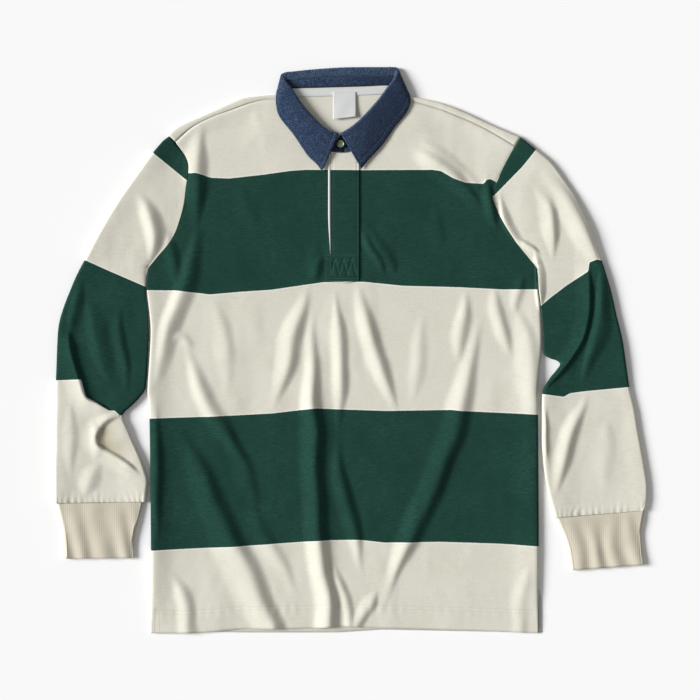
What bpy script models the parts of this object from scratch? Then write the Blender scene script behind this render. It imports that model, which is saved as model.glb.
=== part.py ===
"""Long-sleeved rugby shirt with a denim collar, laid flat and face up.

Every size is in millimetres in the shirt's own layout frame: x across, with the wearer's right sleeve at -x,
y up the body from the hem, z up from the surface it lies on. LAYOUT_CENTRE_Y moves the layout onto the origin,
which is the bottom centre of the whole shirt.
"""
import math

import bmesh
import bpy
import numpy as np

MM = 0.001
LAYOUT_CENTRE_Y = 390.0

# Cloth and layers
WALL = 1.4
HALF = WALL / 2
SEAM = 0.3
BACK_MID = HALF
FRONT_MID = BACK_MID + WALL + SEAM
TAPE_WALL = 1.0
RIB_HEIGHT = 0.5

# Soft roll along the free edges
ROLL_WIDTH = 3.0
ROLL_REACH = 20.0
RIM_LEVEL = WALL + SEAM + 0.2
SLEEVE_LOFT = 4.6
SLEEVE_CLEARANCE = 0.5
BACK_INSET = 1.0

# Raised zone at the neck, where the back of the collar lies under the back panel
NECK_RAISE = 1.7
FRONT_NECK_RAISE = 1.15
NECK_ZONE = {"x0": -112.0, "x1": 88.0, "y0": 706.0, "fade": 30.0, "front_fade": 46.0}

# Number of cells
SIDE_ROWS = 20
SHOULDER_COLUMNS = 6
NECK_SIDE_COLUMNS = 5
BACK_NECK_COLUMNS = 8
PLACKET_COLUMNS = 2
PLACKET_ROWS = 12
RIBS = 22

# Outline of each cut edge, from one end to the other (x, y)
SIDE = {
    "right": [(-276, 0), (-276, 115), (-278, 296), (-281, 335), (-278, 384), (-277, 424), (-282, 476), (-279, 504)],
    "left": [(258, 0), (259, 121), (258, 302), (258, 338), (263, 397), (261, 447), (257, 475), (256, 504)],
}
# From the underarm up to the shoulder seam
ARMHOLE = {
    "right": [(-279, 504), (-266, 520), (-253, 535), (-243, 551), (-236, 570), (-230, 593), (-227, 617),
              (-224, 635), (-226, 653), (-242, 677)],
    "left": [(256, 504), (242, 521), (226, 541), (210, 566), (199, 589), (195, 602), (196, 614), (201, 624),
             (211, 644), (226, 672)],
}
SHOULDER_POINT = {"right": (-252, 687), "left": (234, 684)}
# From the sleeve to the neck
SHOULDER_FOLD = {
    "right": [(-252, 687), (-237, 699), (-208, 712), (-181, 724), (-154, 736), (-132, 740), (-105, 742), (-97, 742)],
    "left": [(234, 684), (194, 701), (158, 718), (124, 731), (93, 738), (83, 739), (70, 740)],
}
SHOULDER_SEAM = {
    "right": [(-242, 677), (-218, 698), (-191, 712), (-166, 721), (-138, 731), (-115, 736), (-96, 736)],
    "left": [(226, 672), (192, 692), (166, 705), (144, 714), (124, 722), (89, 732), (68, 733)],
}
FRONT_NECK = {
    "right": [(-96, 736), (-90, 724), (-75, 704), (-55, 683), (-37, 669), (-28, 664)],
    "left": [(68, 733), (59, 723), (46, 707), (26, 684), (11, 667)],
}
PLACKET_TOP = [(-28, 664), (-8, 662), (11, 667)]
BACK_NECK = [(-96, 740), (-90, 748), (-81, 751), (-46, 752), (-12, 753), (21, 754), (52, 755), (62, 750), (69, 738)]
FRONT_HEM = [(-276, 0), (-239, 0), (-203, 1), (-150, 6), (-101, 6), (-45, 7), (-20, 10), (40, 7), (88, 6),
             (150, 4), (214, 2), (258, 0)]
BACK_HEM = [(-276, 1), (-203, 2), (-150, 1), (-20, 1), (40, 5), (150, 3), (258, 1)]

# Sleeve outlines: a row for each section, outer edge then inner edge (x, y, x, y)
SLEEVE = {
    "right": [
        (-273, 663, -281, 490), (-291, 639, -283, 473), (-306, 618, -282, 457), (-322, 595, -280, 439),
        (-335, 574, -279, 421), (-352, 544, -279, 402), (-367, 515, -280, 382), (-378, 494, -281, 364),
        (-387, 473, -282, 349), (-397, 447, -284, 335), (-403, 424, -293, 323), (-405, 397, -304, 312),
        (-406, 370, -313, 304), (-407, 342, -314, 296), (-407, 315, -308, 283), (-408, 287, -300, 264),
        (-408, 259, -291, 245), (-409, 235, -284, 226), (-409, 211, -280, 211), (-409, 195, -281, 196),
        (-409, 179, -282, 181),
    ],
    "left": [
        (254, 668, 258, 490), (268, 657, 259, 473), (279, 646, 261, 458), (295, 624, 263, 443),
        (310, 601, 264, 428), (329, 562, 265, 411), (337, 538, 265, 396), (345, 516, 266, 385),
        (352, 494, 274, 379), (359, 470, 283, 376), (366, 439, 288, 371), (374, 406, 283, 363),
        (379, 373, 274, 352), (384, 339, 266, 339), (391, 310, 263, 325), (396, 280, 263, 294),
        (402, 247, 263, 258), (408, 211, 267, 218), (409, 195, 273, 190), (408, 181, 278, 172),
        (405, 169, 282, 159),
    ],
}
# Cuff outlines, sleeve end first: outer edge then inner edge (x, y, x, y)
CUFF = {
    "right": [(-405, 179, -287, 181), (-401, 164, -291, 164), (-397, 145, -296, 145), (-395, 122, -299, 126),
              (-395, 103, -299, 104)],
    "left": [(404, 169, 284, 159), (402, 155, 290, 146), (400, 138, 296, 132), (401, 117, 301, 114),
             (404, 95, 305, 87)],
}

# Height of the roll's crest along each free edge, from start to end
CREST = {
    "side": [2.4, 5.5, 6.0, 6.0, 6.0, 5.5, 5.0, 2.4],
    "shoulder": [6.0, 6.0, 5.6, 5.2, 4.8, 4.4],
    "sleeve_outer": [6.0, 6.4, 6.6, 6.6],
    "sleeve_inner": [2.4, 5.6, 6.2, 6.4, 6.4],
}

# Largest folds as ridges: four points of the crest, height, and how far each flank reaches.
# "lit" is the flank toward -x and "shade" the flank toward +x.
FOLDS = [
    {"name": "flank", "height": 5.5, "lit": 14, "shade": 22,
     "crest": [(-213, 586), (-222, 508), (-247, 432), (-269, 333)]},
    {"name": "hook", "height": 4.5, "lit": 15, "shade": 17,
     "crest": [(-230, 414), (-218, 366), (-188, 302), (-137, 214)]},
    {"name": "diagonal_right", "height": 6.5, "lit": 32, "shade": 19,
     "crest": [(-247, 297), (-208, 230), (-157, 112), (-109, 11)]},
    {"name": "under_box_right", "height": 5.0, "lit": 19, "shade": 17,
     "crest": [(-66, 469), (-81, 418), (-97, 356), (-109, 315)]},
    {"name": "centre", "height": 7.5, "lit": 20, "shade": 15,
     "crest": [(-54, 432), (-51, 322), (-46, 184), (-30, 7)]},
    {"name": "centre_left", "height": 4.0, "lit": 13, "shade": 13,
     "crest": [(-27, 460), (-16, 411), (-13, 342), (-19, 280)]},
    {"name": "low_centre", "height": 4.5, "lit": 15, "shade": 14,
     "crest": [(-17, 280), (-13, 214), (3, 142), (20, 73)]},
    {"name": "under_box_left", "height": 5.0, "lit": 17, "shade": 15,
     "crest": [(14, 469), (25, 418), (43, 364), (65, 308)]},
    {"name": "upper_left", "height": 3.0, "lit": 14, "shade": 14,
     "crest": [(157, 471), (156, 439), (152, 397), (148, 377)]},
    {"name": "diagonal_left", "height": 6.5, "lit": 24, "shade": 20,
     "crest": [(188, 435), (161, 374), (123, 225), (40, 37)]},
    {"name": "small_left", "height": 3.5, "lit": 15, "shade": 12,
     "crest": [(197, 473), (203, 443), (213, 411), (217, 391)]},
    {"name": "edge_left", "height": 3.0, "lit": 24, "shade": 16,
     "crest": [(217, 465), (241, 411), (248, 349), (250, 280)]},
    {"name": "hem_right", "height": 3.5, "lit": 14, "shade": 14,
     "crest": [(-247, 80), (-236, 59), (-228, 34), (-222, 4)]},
    {"name": "chest_right", "height": 4.0, "lit": 18, "shade": 18,
     "crest": [(-201, 698), (-206, 667), (-208, 625), (-210, 577)]},
    {"name": "chest_left", "height": 3.5, "lit": 20, "shade": 14,
     "crest": [(80, 676), (104, 660), (137, 632), (175, 591)]},
    {"name": "sleeve_right_upper", "height": 5.0, "lit": 14, "shade": 17,
     "crest": [(-294, 611), (-282, 581), (-272, 549), (-276, 512)]},
    {"name": "sleeve_right_elbow", "height": 5.0, "lit": 12, "shade": 24,
     "crest": [(-372, 475), (-366, 432), (-356, 377), (-340, 330)]},
    {"name": "sleeve_right_cuff", "height": 2.5, "lit": 14, "shade": 14,
     "crest": [(-346, 240), (-356, 222), (-364, 204), (-370, 186)]},
    {"name": "sleeve_left_upper", "height": 4.0, "lit": 12, "shade": 17,
     "crest": [(233, 600), (250, 567), (268, 542), (277, 520)]},
    {"name": "sleeve_left_outer", "height": 3.0, "lit": 22, "shade": 15,
     "crest": [(288, 628), (316, 577), (334, 529), (343, 478)]},
    {"name": "sleeve_left_ridge", "height": 6.0, "lit": 13, "shade": 15,
     "crest": [(339, 511), (337, 439), (320, 374), (284, 335)]},
    {"name": "sleeve_left_fore", "height": 5.0, "lit": 17, "shade": 17,
     "crest": [(305, 326), (300, 280), (294, 232), (286, 180)]},
]

# Collar sections, from the centre front of the wearer's right leaf round the neck to the left leaf.
# fold: the fold edge; tip: the leaf's outer edge; turn: 90 lies on the front, 0 stands at the side,
# -90 lies under the back; turn_in: how far the leaf runs on inside the fold, where it isn't LEAF_TURN_IN;
# roll: radius of the fold; side: -1 toward -x, 1 toward +x.
COLLAR = [
    {"fold": (-18.5, 689, 7.6), "tip": (-40, 637, 6.2), "turn": 90, "roll": 2.4, "side": -1},
    {"fold": (-33, 694, 8.4), "tip": (-47, 641, 6.0), "turn": 90, "roll": 2.7, "side": -1},
    {"fold": (-47, 706, 9.2), "tip": (-60, 659, 5.8), "turn": 90, "roll": 3.0, "side": -1},
    {"fold": (-66, 727, 9.6), "tip": (-79, 687, 6.4), "turn": 90, "roll": 3.2, "side": -1},
    {"fold": (-82, 751, 9.0), "tip": (-98, 711, 7.2), "turn": 90, "roll": 3.0, "side": -1},
    {"fold": (-89.5, 760, 8.2), "tip": (-103, 729, 7.6), "turn": 75, "turn_in": 2, "roll": 2.7, "side": -1},
    {"fold": (-93.5, 769.5, 5.8), "tip": (-102, 747, 4.9), "turn": 0, "turn_in": 10, "roll": 2.4, "side": -1},
    {"fold": (-89.5, 773, 3.7), "tip": (-96.5, 746.5, 0.9), "turn": -75, "turn_in": 14, "roll": 2.3, "side": -1},
    {"fold": (-80, 774, 3.1), "tip": (-83, 731, 0.8), "turn": -90, "roll": 2.3, "side": -1},
    {"fold": (-62, 776, 3.1), "tip": (-64, 730, 0.8), "turn": -90, "roll": 2.3, "side": -1},
    {"fold": (-38, 778, 3.1), "tip": (-38, 730, 0.8), "turn": -90, "roll": 2.3, "side": -1},
    {"fold": (-14, 779.5, 3.1), "tip": (-14, 731, 0.8), "turn": -90, "roll": 2.3, "side": 1},
    {"fold": (10, 780, 3.1), "tip": (10, 732, 0.8), "turn": -90, "roll": 2.3, "side": 1},
    {"fold": (32, 780, 3.1), "tip": (34, 732, 0.8), "turn": -90, "roll": 2.3, "side": 1},
    {"fold": (48, 780, 3.1), "tip": (53, 732, 0.8), "turn": -90, "roll": 2.3, "side": 1},
    {"fold": (57, 780, 3.7), "tip": (72, 745.5, 0.9), "turn": -75, "turn_in": 14, "roll": 2.3, "side": 1},
    {"fold": (62, 777.5, 5.8), "tip": (78.5, 745.5, 4.9), "turn": 0, "turn_in": 10, "roll": 2.4, "side": 1},
    {"fold": (59, 764, 8.2), "tip": (82, 733, 7.6), "turn": 75, "turn_in": 2, "roll": 2.7, "side": 1},
    {"fold": (51, 753, 9.0), "tip": (76, 717, 7.2), "turn": 90, "roll": 3.0, "side": 1},
    {"fold": (36, 733, 9.6), "tip": (60, 697, 6.4), "turn": 90, "roll": 3.2, "side": 1},
    {"fold": (15, 710, 9.2), "tip": (43, 673, 5.8), "turn": 90, "roll": 3.0, "side": 1},
    {"fold": (1, 698, 8.4), "tip": (26, 650, 6.0), "turn": 90, "roll": 2.7, "side": 1},
    {"fold": (-11.5, 689.5, 7.6), "tip": (14, 641, 6.2), "turn": 90, "roll": 2.4, "side": 1},
]
LEAF_TURN_IN = 10.0
STAND_CREASE_GAP = 5.0

# How far down the sleeve the armhole's curve carries on, and where the shoulder's edge lets go of it.
BULGE_STATIONS = 8.0
SHOULDER_STATIONS = 1.5
SHOULDER_SHARE = 0.25

# The placket strip: its edges, its lower end, and how far below it the front's columns ease back
PLACKET = {"x0": -28.0, "x1": 11.0, "y0": 484.0, "fade": 120.0}

NECK_TAPE = {"x0": -68.0, "x1": 42.0, "width": 12.0, "level": 4.5}
LABEL = {"x": -9.0, "y": 727.0, "width": 32.0, "length": 38.0, "level": 5.85, "tilt": 1.6, "wall": 1.0}
BUTTON = {"x": -14.0, "y": 674.5, "radius": 5.0, "thick": 2.4, "level": 6.7, "holes": 4}
VENT_TAPE = {"x0": 258.6, "x1": 262.6, "y0": 1.0, "y1": 60.0}
FACING_WIDTH = 3.2

COLOURS = {
    "body": (0.045, 0.105, 0.07),
    "cream": (0.72, 0.70, 0.62),
    "cuff": (0.60, 0.55, 0.45),
    "denim": (0.045, 0.075, 0.14),
    "tape": (0.80, 0.81, 0.79),
    "button": (0.62, 0.66, 0.56),
}


def smooth_path(points, steps=8):
    """A smooth line through every point (Catmull-Rom)."""
    knots = np.asarray(points, dtype=float)
    padded = np.vstack([2 * knots[0] - knots[1], knots, 2 * knots[-1] - knots[-2]])
    path = []
    for before, start, end, after in zip(padded, padded[1:], padded[2:], padded[3:]):
        for t in np.linspace(0, 1, steps, endpoint=False):
            path.append(0.5 * (2 * start + (end - before) * t
                               + (2 * before - 5 * start + 4 * end - after) * t ** 2
                               + (3 * start - before - 3 * end + after) * t ** 3))
    path.append(knots[-1])
    return np.array(path)


def lengths(path):
    """Distance along a path at each point, from 0 to 1."""
    steps = np.linalg.norm(np.diff(path, axis=0), axis=1)
    run = np.concatenate([[0.0], np.cumsum(steps)])
    return run / run[-1]


def resample(points, count):
    """The given number of cells, evenly long, along a smooth line."""
    path = smooth_path(points)
    run = lengths(path)
    wanted = np.linspace(0, 1, count + 1)
    return np.column_stack([np.interp(wanted, run, path[:, axis]) for axis in range(path.shape[1])])


def offset(path, distance):
    """A path moved sideways, to its left when distance is above 0."""
    step = np.gradient(path, axis=0)
    step /= np.linalg.norm(step, axis=1)[:, None]
    return path + distance * np.column_stack([-step[:, 1], step[:, 0]])


def crest_heights(name, count):
    """A named table of crest heights, spread over the points of an edge."""
    table = CREST[name]
    return np.interp(np.linspace(0, 1, count), np.linspace(0, 1, len(table)), table)


def sleeve_edge(side, column):
    """One edge of a sleeve, from the armhole to the cuff."""
    first = SHOULDER_POINT[side] if column == 0 else SIDE[side][-1]
    return [first] + [row[column:column + 2] for row in SLEEVE[side]]


def free_edges():
    """Every free edge as (path, crest height at each point)."""
    edges = []
    for side in ("right", "left"):
        named_lines = (
            ("side", SIDE[side]),
            ("shoulder", SHOULDER_FOLD[side]),
            ("sleeve_outer", sleeve_edge(side, 0)),
            ("sleeve_inner", sleeve_edge(side, 2)),
        )
        for name, line in named_lines:
            path = resample(line, 30)
            edges.append((path, crest_heights(name, len(path))))
    return edges


FREE_EDGES = free_edges()


def nearest_on(path, points):
    """For each point: distance to a path, place along it (0 to 1) and the signed side of it."""
    best = np.full(len(points), np.inf)
    place = np.zeros(len(points))
    side = np.zeros(len(points))
    run = lengths(path)
    for index, (start, end) in enumerate(zip(path, path[1:])):
        line = end - start
        t = np.clip((points - start) @ line / (line @ line), 0, 1)
        gap = points - (start + t[:, None] * line)
        distance = np.hypot(gap[:, 0], gap[:, 1])
        nearer = distance < best
        best = np.where(nearer, distance, best)
        place = np.where(nearer, run[index] + t * (run[index + 1] - run[index]), place)
        side = np.where(nearer, line[0] * gap[:, 1] - line[1] * gap[:, 0], side)
    return best, place, side


def smooth_step(value):
    value = np.clip(value, 0, 1)
    return value * value * (3 - 2 * value)


def neck_raise(points, fade="fade"):
    """How far the layers are lifted by the part of the collar that lies under them."""
    zone = NECK_ZONE
    outside = np.maximum.reduce([zone["x0"] - points[:, 0], points[:, 0] - zone["x1"], zone["y0"] - points[:, 1]])
    return NECK_RAISE * (1 - smooth_step(outside / zone[fade]))


def placket_calm(points):
    """0 over the placket and the collar, where the front lies flat, and 1 where folds may rise."""
    beside = np.abs(points[:, 0] + 8.5) - 24
    below = 468 - points[:, 1]
    clear_of_placket = smooth_step(np.maximum(beside, below) / 26)
    from_neck = np.hypot((points[:, 0] + 12) / 1.25, points[:, 1] - 715)
    return clear_of_placket * smooth_step((from_neck - 84) / 30)


def fold_height(points):
    """Height of the folds over the flat cloth."""
    total = np.zeros(len(points))
    for fold in FOLDS:
        distance, place, side = nearest_on(smooth_path(fold["crest"], 4), points)
        reach = np.where(side > 0, fold["shade"], fold["lit"])
        ends = np.minimum(smooth_step(place / 0.22), smooth_step((1 - place) / 0.18))
        if fold["crest"][-1][1] < 15:
            ends = smooth_step(place / 0.22)
        rise = fold["height"] * ends * np.cos(np.clip(distance / reach, 0, 1) * math.pi / 2) ** 2
        total = np.maximum(total, rise) + 0.3 * np.minimum(total, rise)
    return total * placket_calm(points)


def top_height(points, base=FRONT_MID):
    """Middle of the upper layer: flat cloth, the roll beside the free edges, the neck lift and the folds."""
    height = np.full(len(points), base, dtype=float) if np.isscalar(base) else np.array(base, dtype=float)
    roll = np.zeros(len(points))
    for path, crest in FREE_EDGES:
        distance, place, _ = nearest_on(path, points)
        top = np.interp(place, lengths(path), crest)
        fade = np.exp(-(np.maximum(distance - ROLL_WIDTH, 0) / ROLL_REACH) ** 2)
        roll = np.maximum(roll, np.maximum(top - height, 0) * fade)
    return height + roll * placket_calm(points) + FRONT_NECK_RAISE * neck_raise(points, "front_fade") + fold_height(points)


def back_height(points):
    """Middle of the lower layer, lifted only by the collar under it."""
    return BACK_MID + neck_raise(points)


def coons(left, right, bottom, top):
    """A patch between four edges; left and right run up, bottom and top run across."""
    across = ((top[:, 0] - top[0, 0]) / (top[-1, 0] - top[0, 0]))[:, None]
    rows = []
    ups = 0.5 * (lengths(left) + lengths(right))
    for start, end, up in zip(left, right, ups):
        ruled = (1 - across) * start + across * end + (1 - up) * bottom + up * top
        corners = ((1 - across) * (1 - up) * bottom[0] + across * (1 - up) * bottom[-1]
                   + (1 - across) * up * top[0] + across * up * top[-1])
        rows.append(ruled - corners)
    return np.array(rows)


def new_object(name, vertices, faces, colour, roughness=0.9):
    """A mesh object from points in layout millimetres."""
    points = np.asarray(vertices, dtype=float) * MM
    points[:, 1] -= LAYOUT_CENTRE_Y * MM
    mesh = bpy.data.meshes.new(name)
    mesh.from_pydata([tuple(point) for point in points], [], faces)
    mesh.update()
    part = bpy.data.objects.new(name, mesh)
    COLLECTION.objects.link(part)
    material = bpy.data.materials.new(name)
    material.use_nodes = True
    shader = material.node_tree.nodes["Principled BSDF"]
    shader.inputs["Base Color"].default_value = (*COLOURS[colour], 1)
    shader.inputs["Roughness"].default_value = roughness
    mesh.materials.append(material)
    mesh.shade_smooth()
    return part


def face_outward(mesh):
    """Turns every face of a closed mesh outward."""
    work = bmesh.new()
    work.from_mesh(mesh)
    bmesh.ops.recalc_face_normals(work, faces=work.faces)
    work.to_mesh(mesh)
    work.free()


def grid_faces(rows, columns, closed=False):
    """Quads between the points of a grid, row by row; closed joins the last column to the first."""
    faces = []
    for row in range(rows - 1):
        for column in range(columns if closed else columns - 1):
            beside = (column + 1) % columns
            faces.append((row * columns + column, row * columns + beside,
                          (row + 1) * columns + beside, (row + 1) * columns + column))
    return faces


def thicken(part, wall=WALL, even=True):
    """Cloth: the open surface is the middle of the wall."""
    solid = part.modifiers.new("wall", "SOLIDIFY")
    solid.thickness = wall * MM
    solid.offset = 0
    solid.use_even_offset = even
    return part


def cloth_grid(name, points, colour, wall=WALL, even=True):
    """A cloth wall through a grid of points with the shape (rows, columns, 3)."""
    rows, columns, _ = points.shape
    part = new_object(name, points.reshape(-1, 3), grid_faces(rows, columns), colour)
    return thicken(part, wall, even)


def armhole_line(side):
    """Points of the armhole seam, from the underarm to the shoulder seam."""
    return resample(ARMHOLE[side], 10)


def front_edges(side):
    """Left or right edge of the front: side seam, then armhole, moved in from the outline."""
    inward = 1 if side == "right" else -1
    seam = resample(SIDE[side], SIDE_ROWS)
    seam = seam[:-1] + np.array([inward * HALF, 0])
    arm = offset(armhole_line(side), -inward * SEAM / 2)
    return np.vstack([seam, arm])


def front_top():
    """Top edge of the front: shoulder seam, neckline, shoulder seam, from -x to +x."""
    parts = [
        resample(SHOULDER_SEAM["right"], SHOULDER_COLUMNS),
        resample(FRONT_NECK["right"], NECK_SIDE_COLUMNS)[1:],
        resample(PLACKET_TOP, PLACKET_COLUMNS)[1:],
        resample(FRONT_NECK["left"], NECK_SIDE_COLUMNS)[::-1][1:],
        resample(SHOULDER_SEAM["left"], SHOULDER_COLUMNS)[::-1][1:],
    ]
    return np.vstack(parts)


def matching_hem(hem, top):
    """Points of a hem below the points of a top edge."""
    share = (top[:, 0] - top[0, 0]) / (top[-1, 0] - top[0, 0])
    x = hem[0][0] + share * (hem[-1][0] - hem[0][0])
    table = np.array(hem, dtype=float)
    return np.column_stack([x, np.interp(x, table[:, 0], table[:, 1])])


def straight_placket(grid):
    """Moves the columns of the front so that the placket runs straight down at its own width."""
    first = SHOULDER_COLUMNS + NECK_SIDE_COLUMNS
    last = first + PLACKET_COLUMNS
    for row in grid:
        share = smooth_step((row[first, 1] - PLACKET["y0"] + PLACKET["fade"]) / PLACKET["fade"])
        x = row[:, 0].copy()
        wanted = np.interp(x, [x[0], x[first], x[last], x[-1]], [x[0], PLACKET["x0"], PLACKET["x1"], x[-1]])
        row[:, 0] += share * (wanted - x)
    return grid


def front_layout():
    """Grid of the front in x and y, with two thin columns inside each edge for the roll."""
    left = front_edges("right")
    right = front_edges("left")
    top = offset(front_top(), -SEAM / 2)
    top[0], top[-1] = left[-1], right[-1]
    bottom = matching_hem(FRONT_HEM, top)
    bottom[0], bottom[-1] = left[0], right[0]
    grid = straight_placket(coons(left, right, bottom, top))
    rows = []
    for row in grid:
        start = row[0] + np.outer([0.3, 1.0], (row[1] - row[0]) / np.linalg.norm(row[1] - row[0])) * ROLL_WIDTH
        end = row[-1] + np.outer([1.0, 0.3], (row[-2] - row[-1]) / np.linalg.norm(row[-2] - row[-1])) * ROLL_WIDTH
        rows.append(np.vstack([row[:1], start, row[1:-1], end, row[-1:]]))
    return np.array(rows)


def front_points():
    """Grid of the front with its heights and the roll down its side edges."""
    layout = front_layout()
    rows, columns, _ = layout.shape
    height = top_height(layout.reshape(-1, 2)).reshape(rows, columns)
    strength = np.zeros(rows)
    run = np.linspace(0, 1, SIDE_ROWS)
    strength[:SIDE_ROWS] = smooth_step(run / 0.12) * smooth_step((1 - run) / 0.12)
    for column, share in ((0, 1.0), (1, 0.35), (columns - 2, 0.35), (columns - 1, 1.0)):
        height[:, column] -= strength * share * (height[:, column] - RIM_LEVEL)
    return np.dstack([layout, height])


def make_front():
    """Front panel, with the placket slit cut down from the neckline."""
    points = front_points()
    rows, columns, _ = points.shape
    middle = placket_first_column() + 1
    slit_rows = PLACKET_ROWS - 1
    vertices = points.reshape(-1, 3).tolist()
    faces = grid_faces(rows, columns)
    copies = {}
    for row in range(rows - slit_rows, rows):
        index = row * columns + middle
        copies[index] = len(vertices)
        x, y, z = vertices[index]
        vertices[index] = [x - SEAM / 2 - 0.05, y, z]
        vertices.append([x + SEAM / 2 + 0.05, y, z])
    cut = []
    for face in faces:
        row, column = divmod(face[0], columns)
        cut.append(tuple(copies.get(corner, corner) for corner in face) if column == middle else face)
    return thicken(new_object("front", vertices, cut, "body"))


def placket_first_column():
    """Column of the front where the placket starts."""
    return 2 + SHOULDER_COLUMNS + NECK_SIDE_COLUMNS


def placket_points():
    """Points of the front that the placket covers, from the stitched box to the neckline."""
    first = placket_first_column()
    points = front_points()[-PLACKET_ROWS:, first:first + PLACKET_COLUMNS + 1].copy()
    share = (PLACKET["y0"] - points[0, :, 1:2]) / (points[1, :, 1:2] - points[0, :, 1:2])
    points[0] += share * (points[1] - points[0])
    return points


def make_placket():
    """Outer strip of the placket, on the front's own points."""
    points = placket_points().copy()
    points[..., 2] += WALL + SEAM
    return cloth_grid("placket_fly", points, "body")


def make_facing():
    """White facing that shows along the edge of the placket."""
    edge = placket_points()[1:-2, 0].copy()
    edge[:, 2] += HALF + SEAM + TAPE_WALL / 2
    inner = edge - np.array([SEAM, 0, 0])
    outer = edge - np.array([SEAM + FACING_WIDTH, 0, 0])
    return cloth_grid("placket_facing", np.stack([outer, inner], axis=1), "tape", wall=TAPE_WALL)


def back_edges(side):
    """Edge of the back: the side with few points, then the armhole."""
    inward = 1 if side == "right" else -1
    seam = resample(SIDE[side], SIDE_ROWS // 2)[:-1] + np.array([inward * BACK_INSET, 0])
    arm = offset(armhole_line(side), -inward * SEAM / 2)
    arm[0, 0] += inward * HALF
    return np.vstack([seam, arm])


def shoulder_pairs(side):
    """Fold point and seam point of each column over the shoulder, from the sleeve to the neck."""
    fold = resample(SHOULDER_FOLD[side], SHOULDER_COLUMNS)
    seam = resample(SHOULDER_SEAM[side], SHOULDER_COLUMNS)
    away = -1 if side == "right" else 1
    fold[-1] += np.array([2.0 * away, 0])
    seam[-1] += np.array([1.5 * away, 0])
    return fold, seam


def wrap_sections(fold, seam):
    """Rows that carry the back over the shoulder: under the fold, round it and on to the front's seam."""
    reach = seam - fold
    length = np.linalg.norm(reach, axis=1)[:, None]
    inward = reach / length
    probe = fold + inward * 3.0
    low = back_height(probe)
    high = top_height(probe)
    radius = ((high - low) / 2)[:, None]
    centre = fold + inward * (HALF + radius)
    sections = []
    for angle in (-90, -35, 35, 90):
        turn = math.radians(angle)
        flat = centre - inward * radius * math.cos(turn)
        level = (low + high)[:, None] / 2 + radius * math.sin(turn)
        sections.append(np.hstack([flat, level]))
    last = fold + inward * np.maximum(length - SEAM / 2, HALF + radius + 0.6)
    sections.append(np.hstack([last, top_height(last)[:, None]]))
    return np.array(sections)


def make_back():
    """Back panel: flat underneath, wrapped over both shoulder folds."""
    wraps = {}
    for side in ("right", "left"):
        fold, seam = shoulder_pairs(side)
        away = np.array([1 if side == "right" else -1, 0]) * SEAM / 2
        fold[0] = fold[0] + away
        seam[0] = seam[0] + away
        wraps[side] = wrap_sections(fold, seam)
    neck = offset(resample(BACK_NECK, BACK_NECK_COLUMNS), -SEAM / 2)[1:-1]
    top = np.vstack([wraps["right"][0][:, :2], neck, wraps["left"][0][::-1, :2]])
    left = np.vstack([back_edges("right"), top[:1]])
    right = np.vstack([back_edges("left"), top[-1:]])
    bottom = matching_hem(BACK_HEM, top)
    bottom[0], bottom[-1] = left[0], right[0]
    layout = coons(left, right, bottom, top)
    rows, columns, _ = layout.shape
    points = np.dstack([layout, back_height(layout.reshape(-1, 2)).reshape(rows, columns)])
    vertices = points.reshape(-1, 3).tolist()
    faces = grid_faces(rows, columns)
    for side in ("right", "left"):
        across = SHOULDER_COLUMNS + 1
        first = columns * (rows - 1) + (0 if side == "right" else columns - across)
        below = list(range(first, first + across))
        for section in wraps[side][1:]:
            ordered = section if side == "right" else section[::-1]
            above = list(range(len(vertices), len(vertices) + across))
            vertices.extend(ordered.tolist())
            for k in range(across - 1):
                faces.append((below[k], below[k + 1], above[k + 1], above[k]))
            below = above
    return thicken(new_object("back", vertices, faces, "body"))


def beside_body(side, point):
    """A point of a sleeve's inner edge, kept just clear of the body's side seam."""
    seam = smooth_path(SIDE[side])
    edge = np.interp(point[1], seam[:, 1], seam[:, 0])
    clear = SLEEVE_CLEARANCE + smooth_step((point[1] - 430) / 60)
    if side == "right":
        return np.array([min(point[0], edge - clear), point[1]], dtype=float)
    return np.array([max(point[0], edge + clear), point[1]], dtype=float)


def armhole_bulge(side, points):
    """How far the armhole seam stands off the straight line from shoulder to underarm, at each height."""
    seam = armhole_line(side)
    line = np.vstack([seam, [SHOULDER_POINT[side]]])
    straight = np.interp(points[:, 1], [line[0, 1], line[-1, 1]], [line[0, 0], line[-1, 0]])
    curve = np.interp(points[:, 1], line[:, 1], line[:, 0])
    return np.where(points[:, 1] > line[0, 1], curve - straight, 0.0)


def cross_line(side, station):
    """Points across a sleeve section, from its outer edge to its inner edge."""
    seam = np.vstack([[SHOULDER_POINT[side]], armhole_line(side)[::-1]])
    if station == 0:
        return seam
    shares = ((seam[:, 1] - seam[0, 1]) / (seam[-1, 1] - seam[0, 1]))[:, None]
    row = SLEEVE[side][station - 1]
    outer_edge = np.array(row[0:2], dtype=float)
    inner_edge = beside_body(side, row[2:4])
    line = outer_edge + shares * (inner_edge - outer_edge)
    shoulder = 1 - smooth_step(shares[:, 0] / SHOULDER_SHARE)
    hold = 1 - smooth_step(station / SHOULDER_STATIONS) * shoulder
    line[:, 0] += (1 - smooth_step(station / BULGE_STATIONS)) * hold * armhole_bulge(side, line)
    return line


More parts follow.
